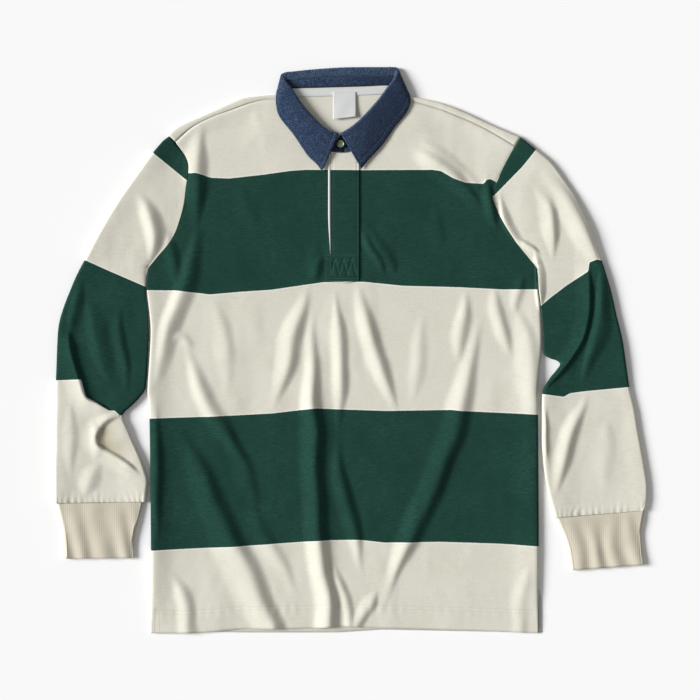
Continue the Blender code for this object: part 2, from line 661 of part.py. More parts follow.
def flat_ring(line, top_fn, bottom_mid=BACK_MID):
    """A closed section through a flattened tube: upper layer, roll, lower layer, roll.

    Returns the middle of the wall and, for each point, the way out of the wall.
    """
    along = np.gradient(line, axis=0)
    along /= np.linalg.norm(along, axis=1)[:, None]
    inside = line[1:-1]
    along = along[1:-1]
    ends = []
    for edge, beside in ((line[0], line[1]), (line[-1], line[-2])):
        inward = (beside - edge) / np.linalg.norm(beside - edge)
        high = top_fn(np.array([edge + inward * ROLL_WIDTH]))[0]
        radius = (high - bottom_mid) / 2
        ends.append((edge + inward * (HALF + radius), inward, radius, (high + bottom_mid) / 2))
    upper = top_fn(inside)
    points = []
    runs = []

    def add_roll(end, angles, heading):
        centre, inward, radius, middle = end
        for angle in angles:
            turn = math.radians(angle)
            flat = centre - inward * radius * math.cos(turn)
            points.append([*flat, middle + radius * math.sin(turn)])
            runs.append(inward * heading)

    add_roll(ends[0], (90,), 1)
    points.extend([*point, level] for point, level in zip(inside, upper))
    runs.extend(along)
    add_roll(ends[1], (90, 35, -35, -90), -1)
    points.extend([*point, bottom_mid] for point in inside[::-1])
    runs.extend(along[::-1])
    add_roll(ends[0], (-90, -35, 35), 1)
    points = np.array(points)
    runs = np.array(runs)
    step = np.roll(points, -1, axis=0) - np.roll(points, 1, axis=0)
    forward = np.sum(step[:, :2] * runs, axis=1)
    normal = np.column_stack([runs * -step[:, 2:], forward])
    normal /= np.linalg.norm(normal, axis=1)[:, None]
    return points, normal


def split_first_rows(faces, columns, rows=4):
    """Cuts the first rows' quads so that none bends across the underarm corner."""
    split = []
    for place, (a, b, c, d) in enumerate(faces[:columns * rows]):
        upper = place % columns < columns / 2
        split += [(a, b, d), (b, c, d)] if upper else [(a, b, c), (a, c, d)]
    return split + faces[columns * rows:]


def tube_wall(name, outer_rows, inner_rows, colour):
    """A closed wall between an outer and an inner tube with the same points, joined at both open ends."""
    rows, columns = len(outer_rows), len(outer_rows[0])
    vertices = np.vstack([np.vstack(outer_rows), np.vstack(inner_rows)])
    faces = split_first_rows(grid_faces(rows, columns, closed=True), columns)
    shift = rows * columns
    faces += [tuple(corner + shift for corner in reversed(face)) for face in faces]
    for row in (0, rows - 1):
        for column in range(columns):
            beside = (column + 1) % columns
            faces.append((row * columns + column, row * columns + beside,
                          row * columns + beside + shift, row * columns + column + shift))
    part = new_object(name, vertices, faces, colour)
    face_outward(part.data)
    return part


def make_sleeve(side):
    """One sleeve: a flattened tube from the armhole seam to the cuff."""
    away = -1 if side == "right" else 1
    outer_rows = []
    inner_rows = []
    stations = len(SLEEVE[side]) + 1
    for station in range(stations):
        line = cross_line(side, station)
        if station == 0:
            line = offset(line, SEAM / 2 * away)
            line[:, 0] += away * 0.05
            line[-1, 0] += away * 0.6
        if station == stations - 1:
            line[:, 1] += SEAM / 2
        loft = FRONT_MID + (SLEEVE_LOFT - FRONT_MID) * smooth_step(station / 4.0)
        ring, normal = flat_ring(line, lambda points, base=loft: top_height(points, base))
        outer_rows.append(ring + normal * HALF)
        inner_rows.append(ring - normal * HALF)
    return tube_wall("sleeve_" + side, outer_rows, inner_rows, "body")


def cuff_top(level):
    """Upper layer of a cuff, with soft flutes."""
    def height(points):
        wave = np.sin((points[:, 0] + points[:, 1] * 0.2) / 5.2)
        return level + 0.5 * wave
    return height


def make_cuff(side):
    """Ribbed cuff: ribs raised in the wall's outer points over a plain inside."""
    outer_rows = []
    inner_rows = []
    for index, row in enumerate(CUFF[side]):
        start, end = np.array(row[0:2], dtype=float), np.array(row[2:4], dtype=float)
        shares = np.linspace(0, 1, 2 * RIBS + 1)
        line = start + shares[:, None] * (end - start)
        if index == 0:
            line[:, 1] -= SEAM / 2
        level = 5.2 + 0.6 * index / (len(CUFF[side]) - 1)
        ring, normal = flat_ring(line, cuff_top(level))
        lift = np.where(np.arange(len(ring)) % 2 == 0, RIB_HEIGHT, 0.0)
        lift[ring[:, 2] < BACK_MID + 1.0] = 0.0
        outer_rows.append(ring + normal * (HALF + lift)[:, None])
        inner_rows.append(ring - normal * HALF)
    return tube_wall("cuff_" + side, outer_rows, inner_rows, "cuff")


def collar_frame():
    """For each collar section: fold edge, way down the cloth, way across its layers, roll radius, leaf edge."""
    frames = []
    for row in COLLAR:
        fold = np.array(row["fold"], dtype=float)
        tip = np.array(row["tip"], dtype=float)
        down = tip - fold
        down[2] = 0
        down /= np.linalg.norm(down)
        turn = math.radians(row["turn"])
        sideways = np.array([down[1], -down[0], 0.0])
        sideways *= row["side"] * np.sign(sideways[0]) if abs(sideways[0]) > 1e-6 else 1
        across = sideways * math.cos(turn) + np.array([0, 0, 1.0]) * math.sin(turn)
        frames.append((fold, tip, down, across, row["roll"], row.get("turn_in", LEAF_TURN_IN)))
    return frames


def collar_neck_ends():
    """Where each collar section ends at the neckline, with its height."""
    right = resample(FRONT_NECK["right"], NECK_SIDE_COLUMNS)[::-1]
    left = resample(FRONT_NECK["left"], NECK_SIDE_COLUMNS)
    behind = resample(BACK_NECK, BACK_NECK_COLUMNS)[1:-1]
    flat = [*right[:-1], (-95.4, 737), (-95.0, 740.5), (-89.5, 747), *behind, (62.5, 751), (67.8, 743), (66.8, 735.8),
            *left[1:]]
    ends = []
    for (x, y), row in zip(flat, COLLAR):
        share = (row["turn"] + 90) / 180
        point = np.array([[x, y]])
        low = back_height(point)[0]
        high = top_height(point)[0]
        level = low + share * (high - low)
        if share > 0.4:
            level = max(level, low + WALL + 2 * SEAM)
        ends.append(np.array([x, y, level]))
    return ends


def make_leaf():
    """Denim fall: turned in over the fold, then down to its outer edge."""
    rows = []
    for (fold, tip, down, across, roll, turn_in), end in zip(collar_frame(), collar_neck_ends()):
        centre = fold + down * roll
        inner_start = centre - across * roll
        inward = end - inner_start
        inward /= np.linalg.norm(inward)
        outer_start = centre + across * roll
        row = [
            inner_start + inward * turn_in,
            inner_start + inward * turn_in * 0.4,
            centre - (across + down) * roll * 0.7071,
            centre + (across - down) * roll * 0.7071,
        ]
        row += [outer_start + share * (tip - outer_start) for share in (0.05, 0.35, 0.68, 1.0)]
        rows.append(row)
    return cloth_grid("collar_leaf", np.array(rows), "denim", wall=1.2, even=False)


def make_stand():
    """Denim band between the leaf's turned-in edge and the neckline, on to the centre front."""
    rows = []
    for (fold, tip, down, across, roll, turn_in), end in zip(collar_frame(), collar_neck_ends()):
        inner_start = fold + down * roll - across * roll
        inward = end - inner_start
        length = np.linalg.norm(inward)
        inward /= length
        crease = math.hypot(across[0], across[1])
        first = inner_start + inward * (turn_in + 2 * SEAM + STAND_CREASE_GAP * crease)
        last = inner_start + inward * (length - 2 * SEAM)
        rows.append([first, (first + last) / 2, last])
    for end, row, neck in ((0, rows[0], (-9.2, 662.9)), (-1, rows[-1], (-7.8, 662.9))):
        top = row[0] + np.array([neck[0] - row[0][0], 0, 0]) * 0.8
        bottom = np.array([*neck, row[-1][2]])
        rows.insert(0 if end == 0 else len(rows), [top, (top + bottom) / 2, bottom])
    return cloth_grid("collar_stand", np.array(rows), "denim", wall=1.2, even=False)


def make_neck_tape():
    """White tape on the back panel below the collar's seam."""
    line = resample(BACK_NECK, 24)
    line = line[(line[:, 0] > NECK_TAPE["x0"]) & (line[:, 0] < NECK_TAPE["x1"])]
    rows = []
    for drop in (1.5, NECK_TAPE["width"]):
        rows.append([(x, y - drop, NECK_TAPE["level"]) for x, y in line])
    return cloth_grid("neck_tape", np.array(rows), "tape", wall=TAPE_WALL)


def make_label():
    """Bare label over the tape, its lower edge lifted."""
    size = LABEL
    rows = []
    for share in (0.0, 0.5, 1.0):
        y = size["y"] + size["length"] * (0.5 - share)
        z = size["level"] + size["tilt"] * share ** 2
        rows.append([(size["x"] + size["width"] * (across - 0.5), y, z) for across in (0.0, 1.0)])
    return cloth_grid("label", np.array(rows), "tape", wall=size["wall"])


def make_button():
    """Round button at the collar's front, with four holes."""
    size = BUTTON
    mesh = bpy.data.meshes.new("neck_button")
    work = bmesh.new()
    bmesh.ops.create_cone(work, cap_ends=True, segments=20, radius1=size["radius"] * MM,
                          radius2=size["radius"] * 0.9 * MM, depth=size["thick"] * MM)
    work.to_mesh(mesh)
    work.free()
    part = bpy.data.objects.new("neck_button", mesh)
    part.location = (size["x"] * MM, (size["y"] - LAYOUT_CENTRE_Y) * MM, size["level"] * MM)
    COLLECTION.objects.link(part)
    material = bpy.data.materials.new("neck_button")
    material.use_nodes = True
    shader = material.node_tree.nodes["Principled BSDF"]
    shader.inputs["Base Color"].default_value = (*COLOURS["button"], 1)
    shader.inputs["Roughness"].default_value = 0.35
    mesh.materials.append(material)
    return part


def make_vent_tape():
    """White tape that shows beside the vent at the hem."""
    size = VENT_TAPE
    rows = [[(size["x0"], y, BACK_MID), (size["x1"], y, BACK_MID)] for y in (size["y0"], size["y1"])]
    return cloth_grid("vent_tape", np.array(rows), "tape")


def clear_scene():
    for part in list(bpy.data.objects):
        bpy.data.objects.remove(part, do_unlink=True)


clear_scene()
COLLECTION = bpy.data.collections.new("rugby_shirt")
bpy.context.scene.collection.children.link(COLLECTION)
make_back()
make_front()
for wearer_side in ("right", "left"):
    make_sleeve(wearer_side)
    make_cuff(wearer_side)
make_leaf()
make_stand()
make_placket()
make_facing()
make_neck_tape()
make_label()
make_button()
make_vent_tape()
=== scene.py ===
"""Looks of the long-sleeved rugby shirt with a denim collar, laid flat and seen from straight above.

Sizes are in millimetres in the shirt's own layout frame, the same as in the part's source: x across,
with the wearer's right sleeve at -x, y up the body from the hem, z up from the floor. LAYOUT_CENTRE_Y
moves the layout onto the frame.
"""
import math

import bmesh
import bpy
import numpy as np
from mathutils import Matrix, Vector
from mathutils.bvhtree import BVHTree


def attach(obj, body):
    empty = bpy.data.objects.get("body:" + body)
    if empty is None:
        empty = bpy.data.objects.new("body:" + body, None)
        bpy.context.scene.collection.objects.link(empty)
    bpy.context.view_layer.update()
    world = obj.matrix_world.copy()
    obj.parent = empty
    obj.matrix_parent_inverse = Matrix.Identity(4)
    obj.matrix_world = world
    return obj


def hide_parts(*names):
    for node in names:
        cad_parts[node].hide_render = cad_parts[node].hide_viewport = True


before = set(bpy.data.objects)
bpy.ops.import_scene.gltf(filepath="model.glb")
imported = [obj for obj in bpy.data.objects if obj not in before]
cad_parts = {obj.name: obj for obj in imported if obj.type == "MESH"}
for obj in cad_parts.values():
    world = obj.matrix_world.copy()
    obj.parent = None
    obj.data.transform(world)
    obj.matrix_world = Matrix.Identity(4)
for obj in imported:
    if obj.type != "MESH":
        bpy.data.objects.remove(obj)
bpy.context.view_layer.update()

MM = 0.001
LAYOUT_CENTRE_Y = 390.0

# Cloth and layers
WALL = 1.4
HALF = WALL / 2
SEAM = 0.3
BACK_MID = HALF
FRONT_MID = BACK_MID + WALL + SEAM
TAPE_WALL = 1.0
DENIM_WALL = 1.2

# Soft roll along the free edges
ROLL_WIDTH = 3.0
ROLL_REACH = 20.0
RIM_LEVEL = WALL + SEAM + 0.2
SLEEVE_LOFT = 4.6
SLEEVE_CLEARANCE = 0.5
BACK_INSET = 1.0
NECK_RAISE = 1.7
FRONT_NECK_RAISE = 1.15
NECK_ZONE = {"x0": -112.0, "x1": 88.0, "y0": 706.0, "fade": 30.0, "front_fade": 46.0}

# Camera and picture
PICTURE_MM = 966.0
CAMERA_HEIGHT = 3.2
SENSOR_MM = 36.0
AIM = (-0.0014, 0.0005)

# Light from the left, low over the cloth, as a wide soft lamp gives
KEY = {"heading": (0.87, -0.10, -0.45), "place": (-2.0, 1.2, 1.2), "strength": 4.85, "spread": 24.0}
FILL = 0.29
FLOOR_REACH = 6.0
FLOOR_LEVEL = -0.0001

# Colours
CREAM = (0.705, 0.688, 0.600)
CREAM_DARK = (0.625, 0.603, 0.505)
CREAM_EDGE = (0.84, 0.84, 0.80)
# Painted shade for the hollow under the elbow's lap
CREAM_HOLLOW_SHADE = (0.47, 0.42, 0.28)
GREEN = (0.0078, 0.040, 0.029)
GREEN_LIGHT = (0.020, 0.073, 0.055)
CUFF_LIGHT = (0.65, 0.605, 0.495)
CUFF_DARK = (0.55, 0.505, 0.40)
DENIM_DARK = (0.005, 0.012, 0.034)
DENIM_MID = (0.016, 0.036, 0.085)
DENIM_LIGHT = (0.066, 0.115, 0.195)
TAPE_WHITE = (0.69, 0.70, 0.69)
TAPE_SHADE = (0.60, 0.61, 0.60)
THREADS = {
    "green": (0.03, 0.09, 0.068),
    "box": (0.055, 0.135, 0.105),
    "cream": (0.62, 0.58, 0.48),
    "blue": (0.09, 0.15, 0.25),
    "white": (0.74, 0.75, 0.73),
}
# Button tones: its own olive green, darkened with painted shade for the shadow between the collar's leaves
BUTTON_DARK = (0.075, 0.11, 0.06)
BUTTON_LIGHT = (0.22, 0.27, 0.16)
FLOOR_WHITE = (0.95, 0.95, 0.95)

# Cells of the fine meshes
SIDE_ROWS = 158
ARM_ROWS = 60
SHOULDER_COLUMNS = 48
NECK_SIDE_COLUMNS = 26
PLACKET_COLUMNS = 16
BACK_NECK_COLUMNS = 60
BACK_SIDE_ROWS = 110
SLEEVE_STEPS = 9
SLEEVE_COLUMNS = 50
CUFF_RIBS = 46
CUFF_ROWS = 36
COLLAR_STEPS = 9
LEAF_CELLS = 15
BUTTON_SEGMENTS = 40

# Outlines of the panels as points (x, y)
SIDE = {
    "right": [(-276, 0), (-276, 115), (-278, 296), (-281, 335), (-278, 384), (-277, 424), (-282, 476),
              (-279, 504)],
    "left": [(258, 0), (259, 121), (258, 302), (258, 338), (263, 397), (261, 447), (257, 475), (256, 504)],
}
ARMHOLE = {
    "right": [(-279, 504), (-266, 520), (-253, 535), (-243, 551), (-236, 570), (-230, 593), (-227, 617),
              (-224, 635), (-226, 653), (-242, 677)],
    "left": [(256, 504), (242, 521), (226, 541), (210, 566), (199, 589), (195, 602), (196, 614), (201, 624),
             (211, 644), (226, 672)],
}
SHOULDER_POINT = {"right": (-252, 687), "left": (234, 684)}
SHOULDER_FOLD = {
    "right": [(-252, 687), (-237, 699), (-208, 712), (-181, 724), (-154, 736), (-132, 740), (-105, 742),
              (-97, 742)],
    "left": [(234, 684), (194, 701), (158, 718), (124, 731), (93, 738), (83, 739), (70, 740)],
}
SHOULDER_SEAM = {
    "right": [(-242, 677), (-218, 698), (-191, 712), (-166, 721), (-138, 731), (-115, 736), (-96, 736)],
    "left": [(226, 672), (192, 692), (166, 705), (144, 714), (124, 722), (89, 732), (68, 733)],
}
FRONT_NECK = {
    "right": [(-96, 736), (-90, 724), (-75, 704), (-55, 683), (-37, 669), (-28, 664)],
    "left": [(68, 733), (59, 723), (46, 707), (26, 684), (11, 667)],
}
PLACKET_TOP = [(-28, 664), (-8, 662), (11, 667)]
BACK_NECK = [(-96, 740), (-90, 748), (-81, 751), (-46, 752), (-12, 753), (21, 754), (52, 755), (62, 750),
             (69, 738)]
FRONT_HEM = [(-276, 0), (-239, 0), (-203, 1), (-150, 6), (-101, 6), (-45, 7), (-20, 10), (40, 7), (88, 6),
             (150, 4), (214, 2), (258, 0)]
BACK_HEM = [(-276, 1), (-203, 2), (-150, 1), (-20, 1), (40, 5), (150, 3), (258, 1)]

# Sleeve outlines: a row for each section, outer edge then inner edge (x, y, x, y)
SLEEVE = {
    "right": [
        (-273, 663, -281, 490), (-291, 639, -283, 473), (-306, 618, -282, 457), (-322, 595, -280, 439),
        (-335, 574, -279, 421), (-352, 544, -279, 402), (-367, 515, -280, 382), (-378, 494, -281, 364),
        (-387, 473, -282, 349), (-397, 447, -284, 335), (-403, 424, -293, 323), (-405, 397, -304, 312),
        (-406, 370, -313, 304), (-407, 342, -314, 296), (-407, 315, -308, 283), (-408, 287, -300, 264),
        (-408, 259, -291, 245), (-409, 235, -284, 226), (-409, 211, -280, 211), (-409, 195, -281, 196),
        (-409, 179, -282, 181),
    ],
    "left": [
        (254, 668, 258, 490), (268, 657, 259, 473), (279, 646, 261, 458), (295, 624, 263, 443),
        (310, 601, 264, 428), (329, 562, 265, 411), (337, 538, 265, 396), (345, 516, 266, 385),
        (352, 494, 274, 379), (359, 470, 283, 376), (366, 439, 288, 371), (374, 406, 283, 363),
        (379, 373, 274, 352), (384, 339, 266, 339), (391, 310, 263, 325), (396, 280, 263, 294),
        (402, 247, 263, 258), (408, 211, 267, 218), (409, 195, 273, 190), (408, 181, 278, 172),
        (405, 169, 282, 159),
    ],
}
# Cuff outlines in the same columns
CUFF = {
    "right": [(-405, 179, -287, 181), (-401, 164, -291, 164), (-397, 145, -296, 145), (-395, 122, -299, 126),
              (-395, 103, -299, 104)],
    "left": [(404, 169, 284, 159), (402, 155, 290, 146), (400, 138, 296, 132), (401, 117, 301, 114),
             (404, 95, 305, 87)],
}
# Heights of the roll along each free edge, spread evenly from its start to its end
CREST = {
    "side": [2.4, 5.5, 6.0, 6.0, 6.0, 5.5, 5.0, 2.4],
    "shoulder": [6.0, 6.0, 5.6, 5.2, 4.8, 4.4],
    "sleeve_outer": [6.0, 6.4, 6.6, 6.6],
    "sleeve_inner": [2.4, 5.6, 6.2, 6.4, 6.4],
}

# Folds as ridges: height, reach of the lit flank (toward -x) and of the shaded one, points of the crest
FOLDS = [
    (5.5, 14, 22, [(-213, 586), (-222, 508), (-247, 432), (-269, 333)]),
    (4.5, 15, 17, [(-230, 414), (-218, 366), (-188, 302), (-137, 214)]),
    (6.5, 32, 19, [(-247, 297), (-208, 230), (-157, 112), (-109, 11)]),
    (5.0, 19, 15, [(-56, 492), (-72, 430), (-92, 362), (-109, 305)]),
    (7.5, 20, 14, [(-52, 470), (-51, 322), (-46, 184), (-30, 7)]),
    (4.2, 13, 12, [(-22, 482), (-15, 411), (-13, 342), (-19, 270)]),
    (4.5, 15, 14, [(-17, 280), (-13, 214), (3, 142), (20, 73)]),
    (5.0, 17, 14, [(10, 490), (24, 424), (43, 364), (68, 296)]),
    (3.2, 14, 13, [(158, 486), (156, 439), (151, 397), (144, 360)]),
    (6.5, 24, 18, [(190, 470), (165, 374), (123, 225), (34, 24)]),
    (3.6, 15, 11, [(196, 488), (203, 443), (213, 405), (222, 372)]),
    (3.0, 24, 16, [(217, 465), (241, 411), (248, 349), (250, 280)]),
    (3.5, 14, 14, [(-247, 80), (-236, 59), (-228, 34), (-222, 4)]),
    (5.2, 20, 17, [(-203, 706), (-208, 667), (-212, 612), (-218, 552)]),
    (5.0, 20, 13, [(64, 686), (100, 660), (137, 630), (186, 580)]),
    (5.0, 14, 17, [(-294, 611), (-282, 581), (-272, 549), (-276, 512)]),
    (3.6, 12, 22, [(-366, 470), (-356, 432), (-346, 382), (-334, 336)]),
    (2.5, 14, 14, [(-346, 240), (-356, 222), (-364, 204), (-370, 186)]),
    (4.2, 17, 11, [(252, 624), (273, 592), (281, 552), (279, 506)]),
    (4.4, 25, 12, [(256, 650), (294, 606), (326, 552), (342, 490)]),
    (5.2, 9, 17, [(338, 520), (345, 462), (339, 408), (317, 340)]),
    (4.6, 17, 14, [(324, 334), (308, 284), (292, 236), (278, 186)]),
]
# Smaller folds, in the same columns
SMALL_FOLDS = [
    (3.0, 11, 9, [(-23, 101), (-14, 59), (-6, 29), (-3, 4)]),
    (1.6, 14, 12, [(243, 101), (239, 59), (236, 32), (233, 1)]),
    (4.0, 12, 9, [(184, 634), (187, 604), (194, 580), (205, 552)]),
    (3.4, 9, 8, [(9, 570), (25, 538), (38, 512), (44, 488)]),
    (2.4, 11, 14, [(24, 566), (40, 534), (54, 508), (60, 484)]),
    (3.2, 12, 7, [(-40, 534), (-43, 514), (-46, 498), (-50, 478)]),
    (2.0, 8, 7, [(-118, 738), (-116, 722), (-110, 706), (-104, 690)]),
    (1.6, 9, 8, [(-134, 730), (-130, 716), (-122, 700), (-112, 684)]),
    (2.2, 16, 12, [(74, 700), (112, 668), (150, 636), (190, 596)]),
    (2.6, 18, 13, [(-176, 300), (-160, 256), (-142, 208), (-128, 160)]),
    (3.2, 14, 10, [(34, 62), (26, 44), (16, 28), (6, 10)]),
    (3.2, 8, 9, [(-267, 330), (-266, 260), (-266, 190), (-268, 110)]),
    (3.0, 12, 10, [(-262, 560), (-252, 540), (-244, 510), (-240, 470)]),
    (1.4, 12, 10, [(-46, 562), (-50, 529), (-54, 494), (-63, 466)]),
    (1.4, 12, 10, [(18, 575), (27, 548), (37, 520), (46, 494)]),
    (2.6, 14, 11, [(-322, 460), (-322, 418), (-313, 370), (-308, 322)]),
    (2.8, 8, 10, [(268, 324), (264, 290), (264, 260), (270, 222)]),
    (2.4, 11, 9, [(239, 504), (233, 480), (226, 460), (222, 432)]),
    (2.2, 18, 14, [(-150, 214), (-128, 150), (-96, 92), (-70, 40)]),
    (1.8, 16, 12, [(95, 210), (84, 150), (66, 96), (52, 60)]),
    (1.8, 18, 14, [(-190, 470), (-176, 420), (-168, 372), (-166, 330)]),
    (1.8, 16, 14, [(96, 470), (98, 420), (92, 360), (80, 300)]),
    (1.8, 13, 11, [(-360, 300), (-352, 276), (-350, 254), (-356, 236)]),
    (0.9, 16, 14, [(352, 300), (356, 262), (352, 226), (346, 196)]),
    (3.6, 5, 13, [(203, 610), (210, 576), (226, 546), (250, 524)]),
    (3.4, 7, 6, [(228, 545), (240, 536), (252, 527), (266, 516)]),
    (5.2, 3, 16, [(254, 530), (256, 505), (258, 480), (262, 438)]),
    (2.2, 11, 9, [(-243, 398), (-236, 408), (-226, 408), (-214, 390)]),
    (2.6, 9, 14, [(-370, 492), (-378, 462), (-384, 432), (-384, 402)]),
    (1.4, 12, 10, [(-386, 330), (-388, 290), (-386, 250), (-384, 210)]),
    (1.4, 20, 16, [(-160, 640), (-150, 606), (-138, 574), (-120, 545)]),
    (1.2, 18, 14, [(110, 600), (118, 570), (122, 540), (118, 512)]),
]
# Cloth that laps over cloth: height of the lip, how far it slopes back to the right of its line, the line
LAPS = [
    (6.0, 24, [(-387, 424), (-385, 396), (-378, 368), (-372, 350), (-364, 326), (-346, 316), (-322, 303)]),
    (4.6, 20, [(-312, 300), (-334, 293), (-346, 280), (-350, 268), (-346, 258), (-322, 245), (-302, 231),
               (-288, 217)]),
    (5.0, 20, [(328, 512), (330, 472), (329, 439), (321, 406), (306, 381), (289, 359), (263, 331)]),
]

# Collar sections, from the centre front of the wearer's right leaf round the neck to the left leaf: middle
# of the fold, leaf's edge, tilt of the outer face (90 is up), radius of the fold, half of the collar
COLLAR = [
    ((-16.6, 688.5, 7.6), (-40, 636.5, 6.0), 90, 2.4, -1),
    ((-33, 694, 8.4), (-47.2, 646.5, 6.0), 90, 2.7, -1),
    ((-47, 706, 9.2), (-60, 659, 5.8), 90, 3.0, -1),
    ((-66, 727, 9.6), (-79, 687, 6.4), 90, 3.2, -1),
    ((-82, 751, 9.0), (-98, 711, 7.2), 90, 3.0, -1),
    ((-89.5, 760, 8.2), (-103, 729, 7.6), 75, 2.7, -1),
    ((-93.5, 769.5, 5.8), (-102, 747, 4.9), 0, 2.4, -1),
    ((-89.5, 773, 3.7), (-96.5, 746.5, 0.9), -75, 2.3, -1),
    ((-80, 774, 3.1), (-83, 731, 0.8), -90, 2.3, -1),
    ((-62, 776, 3.1), (-64, 730, 0.8), -90, 2.3, -1),
    ((-38, 778, 3.1), (-38, 730, 0.8), -90, 2.3, -1),
    ((-14, 779.5, 3.1), (-14, 731, 0.8), -90, 2.3, 1),
    ((10, 780, 3.1), (10, 732, 0.8), -90, 2.3, 1),
    ((32, 780, 3.1), (34, 732, 0.8), -90, 2.3, 1),
    ((48, 780, 3.1), (53, 732, 0.8), -90, 2.3, 1),
    ((57, 780, 3.7), (72, 745.5, 0.9), -75, 2.3, 1),
    ((62, 777.5, 5.8), (78.5, 745.5, 4.9), 0, 2.4, 1),
    ((59, 764, 8.2), (82, 733, 7.6), 75, 2.7, 1),
    ((51, 753, 9.0), (76, 717, 7.2), 90, 3.0, 1),
    ((36, 733, 9.6), (60, 697, 6.4), 90, 3.2, 1),
    ((15, 710, 9.2), (43, 673, 5.8), 90, 3.0, 1),
    ((1, 698, 8.4), (24.6, 653, 6.0), 90, 2.7, 1),
    ((-14.4, 688.5, 7.6), (14, 640, 6.0), 90, 2.4, 1),
]
LEAF_TURN_IN = 10.0
# The leaf's outer face: a low crown, the groove of its stitching and the puffed rim outside it
LEAF_FORM = {"crown": 1.3, "groove": 0.5, "groove_in": 6.5, "groove_width": 1.1,
             "puff": 0.28, "puff_in": 3.5, "puff_width": 3.0}
STAND_END_RISE = 9.5

# Where the two ends of the stand meet, and the neckline below them
STAND_MEET = {"right": -8.65, "left": -8.35, "neckline": 662.9}
STAND_SHARES = (0, 0.25, 0.5, 0.75, 1.0)

NECK_TAPE = {"x0": -80.0, "x1": 54.0, "width": 12.0, "level": 3.75, "below_seam": 1.5}
LABEL = {"x": -9.0, "y": 727.0, "width": 32.0, "length": 38.0, "level": 4.75, "tilt": 2.2, "wall": 0.5,
         "slant": 4.0}
BUTTON = {"x": -14.0, "y": 674.5, "radius": 5.0, "thick": 2.4, "level": 6.7}
# The button's section from its hollow face over the rim to its back, as shares of radius and thickness
BUTTON_PROFILE = [(0.0, 0.55), (0.5, 0.55), (0.68, 0.62), (0.8, 0.95), (0.9, 1.0), (0.97, 0.85), (1.0, 0.5),
                  (0.97, 0.15), (0.85, 0.0), (0.0, 0.0)]
VENT_TAPE = {"x0": 258.6, "x1": 262.6, "y0": 1.0, "y1": 60.0, "taper": 12.0}
FACING_WIDTH = 3.2
FACING_START = 521.0
STITCHED_BELOW = 634.0

# Green hoops as closed outlines on each piece (x, y); points beyond the piece's own edge only close them
HOOPS = {
    "front": [
        [(-300, 640), (-221, 634), (-214, 634.5), (-193, 628), (-168, 627), (-123, 632), (-84, 637.5),
         (-63, 639), (12, 638.5), (112, 639), (124, 637), (141, 627), (157, 621), (184, 619.5), (186, 624.5),
         (192, 626.5), (200, 622), (300, 622), (300, 474), (257, 474), (207, 474), (150, 477), (72, 479),
         (17, 484.5), (-38, 484), (-110, 473.5), (-155, 470.5), (-194, 467), (-242, 472.5), (-300, 473)],
        [(-300, 296), (-278, 296), (-186, 299), (-110, 303), (-50, 310), (47, 306.5), (139, 308),
         (152, 306.5), (258, 301.5), (300, 301), (300, 120), (258, 120), (204, 123.5), (123, 126),
         (47, 125), (9, 129), (-42, 128), (-152, 120), (-276, 114), (-300, 114)],
    ],
    "back": [
        [(-400, 634), (400, 622), (400, 474), (-400, 473)],
        [(-400, 296), (400, 301), (400, 120), (-400, 114)],
    ],
    "sleeve_right": [
        [(-254, 686), (-274, 663), (-242, 637), (-226, 624), (-215, 634), (-221, 648), (-236, 676)],
        [(-420, 545), (-368, 515), (-330, 498), (-281.5, 477), (-250, 470), (-250, 318), (-318, 300),
         (-325, 307), (-333, 307), (-349, 317), (-365, 326), (-371.5, 350), (-410, 348.5), (-440, 348)],
    ],
    "sleeve_left": [
        [(234, 684), (256, 668), (237, 644), (196, 602), (186, 612), (201, 622), (211, 646), (226, 672)],
        [(230, 444), (260, 450), (276, 463.5), (297, 479.5), (327, 499), (328, 511), (338, 515), (347, 513.5),
         (420, 500), (420, 332), (384, 339.5), (321, 333.5), (302, 331), (293, 326), (262, 330), (230, 332)],
    ],
}

PLACKET = {"x0": -28.0, "x1": 11.0, "y0": 484.0, "fade": 120.0}
# The sewn box: ends of its lower and upper side, its heights, and how far in its second rows and teeth lie
BOX = {"low": (-35.0, 13.8), "high": (-33.5, 12.5), "y0": 486.0, "y1": 524.0, "teeth": 3,
       "second": (2, 3), "inset": (4, 8)}
BOX_RELIEF = {"puff": 0.35, "sink": 0.75, "width": 1.5}
# Pressed line along the placket's long edges
PLACKET_PRESS = {"in": 2.6, "width": 1.2, "depth": 0.3}
HEM_DEPTH = 29.0
HEM_RELIEF = {"band": 0.35, "groove": 0.55, "groove_width": 1.8, "pucker": 0.28, "pucker_width": 7.0}
SEAM_RELIEF = {"groove": 0.55, "groove_width": 2.2, "pucker": 0.16, "pucker_width": 5.0}
# Where the front lies flat: an oval round the collar's middle, and a strip along the placket
COLLAR_CALM = {"x": -12, "y": 715, "squeeze": 1.25, "radius": 84, "fade": 30}
PLACKET_CALM = {"x": -8.5, "half": 19, "fade": 12}
FOLD_GAIN = 1.12
FOLD_TAIL = 0.42
SHADE_TIGHTEN = 0.92
# How far folds wander from their lines, with the bump size and seed of the drift in x and in y
FOLD_DRIFT = {"reach": 4.0, "x": (46, 41), "y": (52, 42)}
# Section of a fold: sharpness of its flanks, softening of its crest, share of its width kept at the ends
FOLD_FORM = {"sharp": 1.35, "soft": 0.012, "crest": 0.11, "narrow": 0.35, "tent_shaded": 0.35,
             "tent_lit": 0.7}
# Folds that end below this height run out over the hem
HEM_ZONE = 15
# Width of a lap's lip
LIP_STEP = 3.6
# Painted shade in the hollow under one of the laps: reach, and where along the lap it starts and ends
HOLLOW = {"lap": 1, "reach": 32.0, "start": 0.05, "end": 0.8, "tail": 0.3}
# Unevenness of the cloth: size of the bumps, stretch down the body, seed, height
RELIEF = [(48, 0.32, 15, 1.1), (27, 0.5, 11, 0.5), (13, 0.7, 12, 0.2), (6, 1.0, 13, 0.07)]
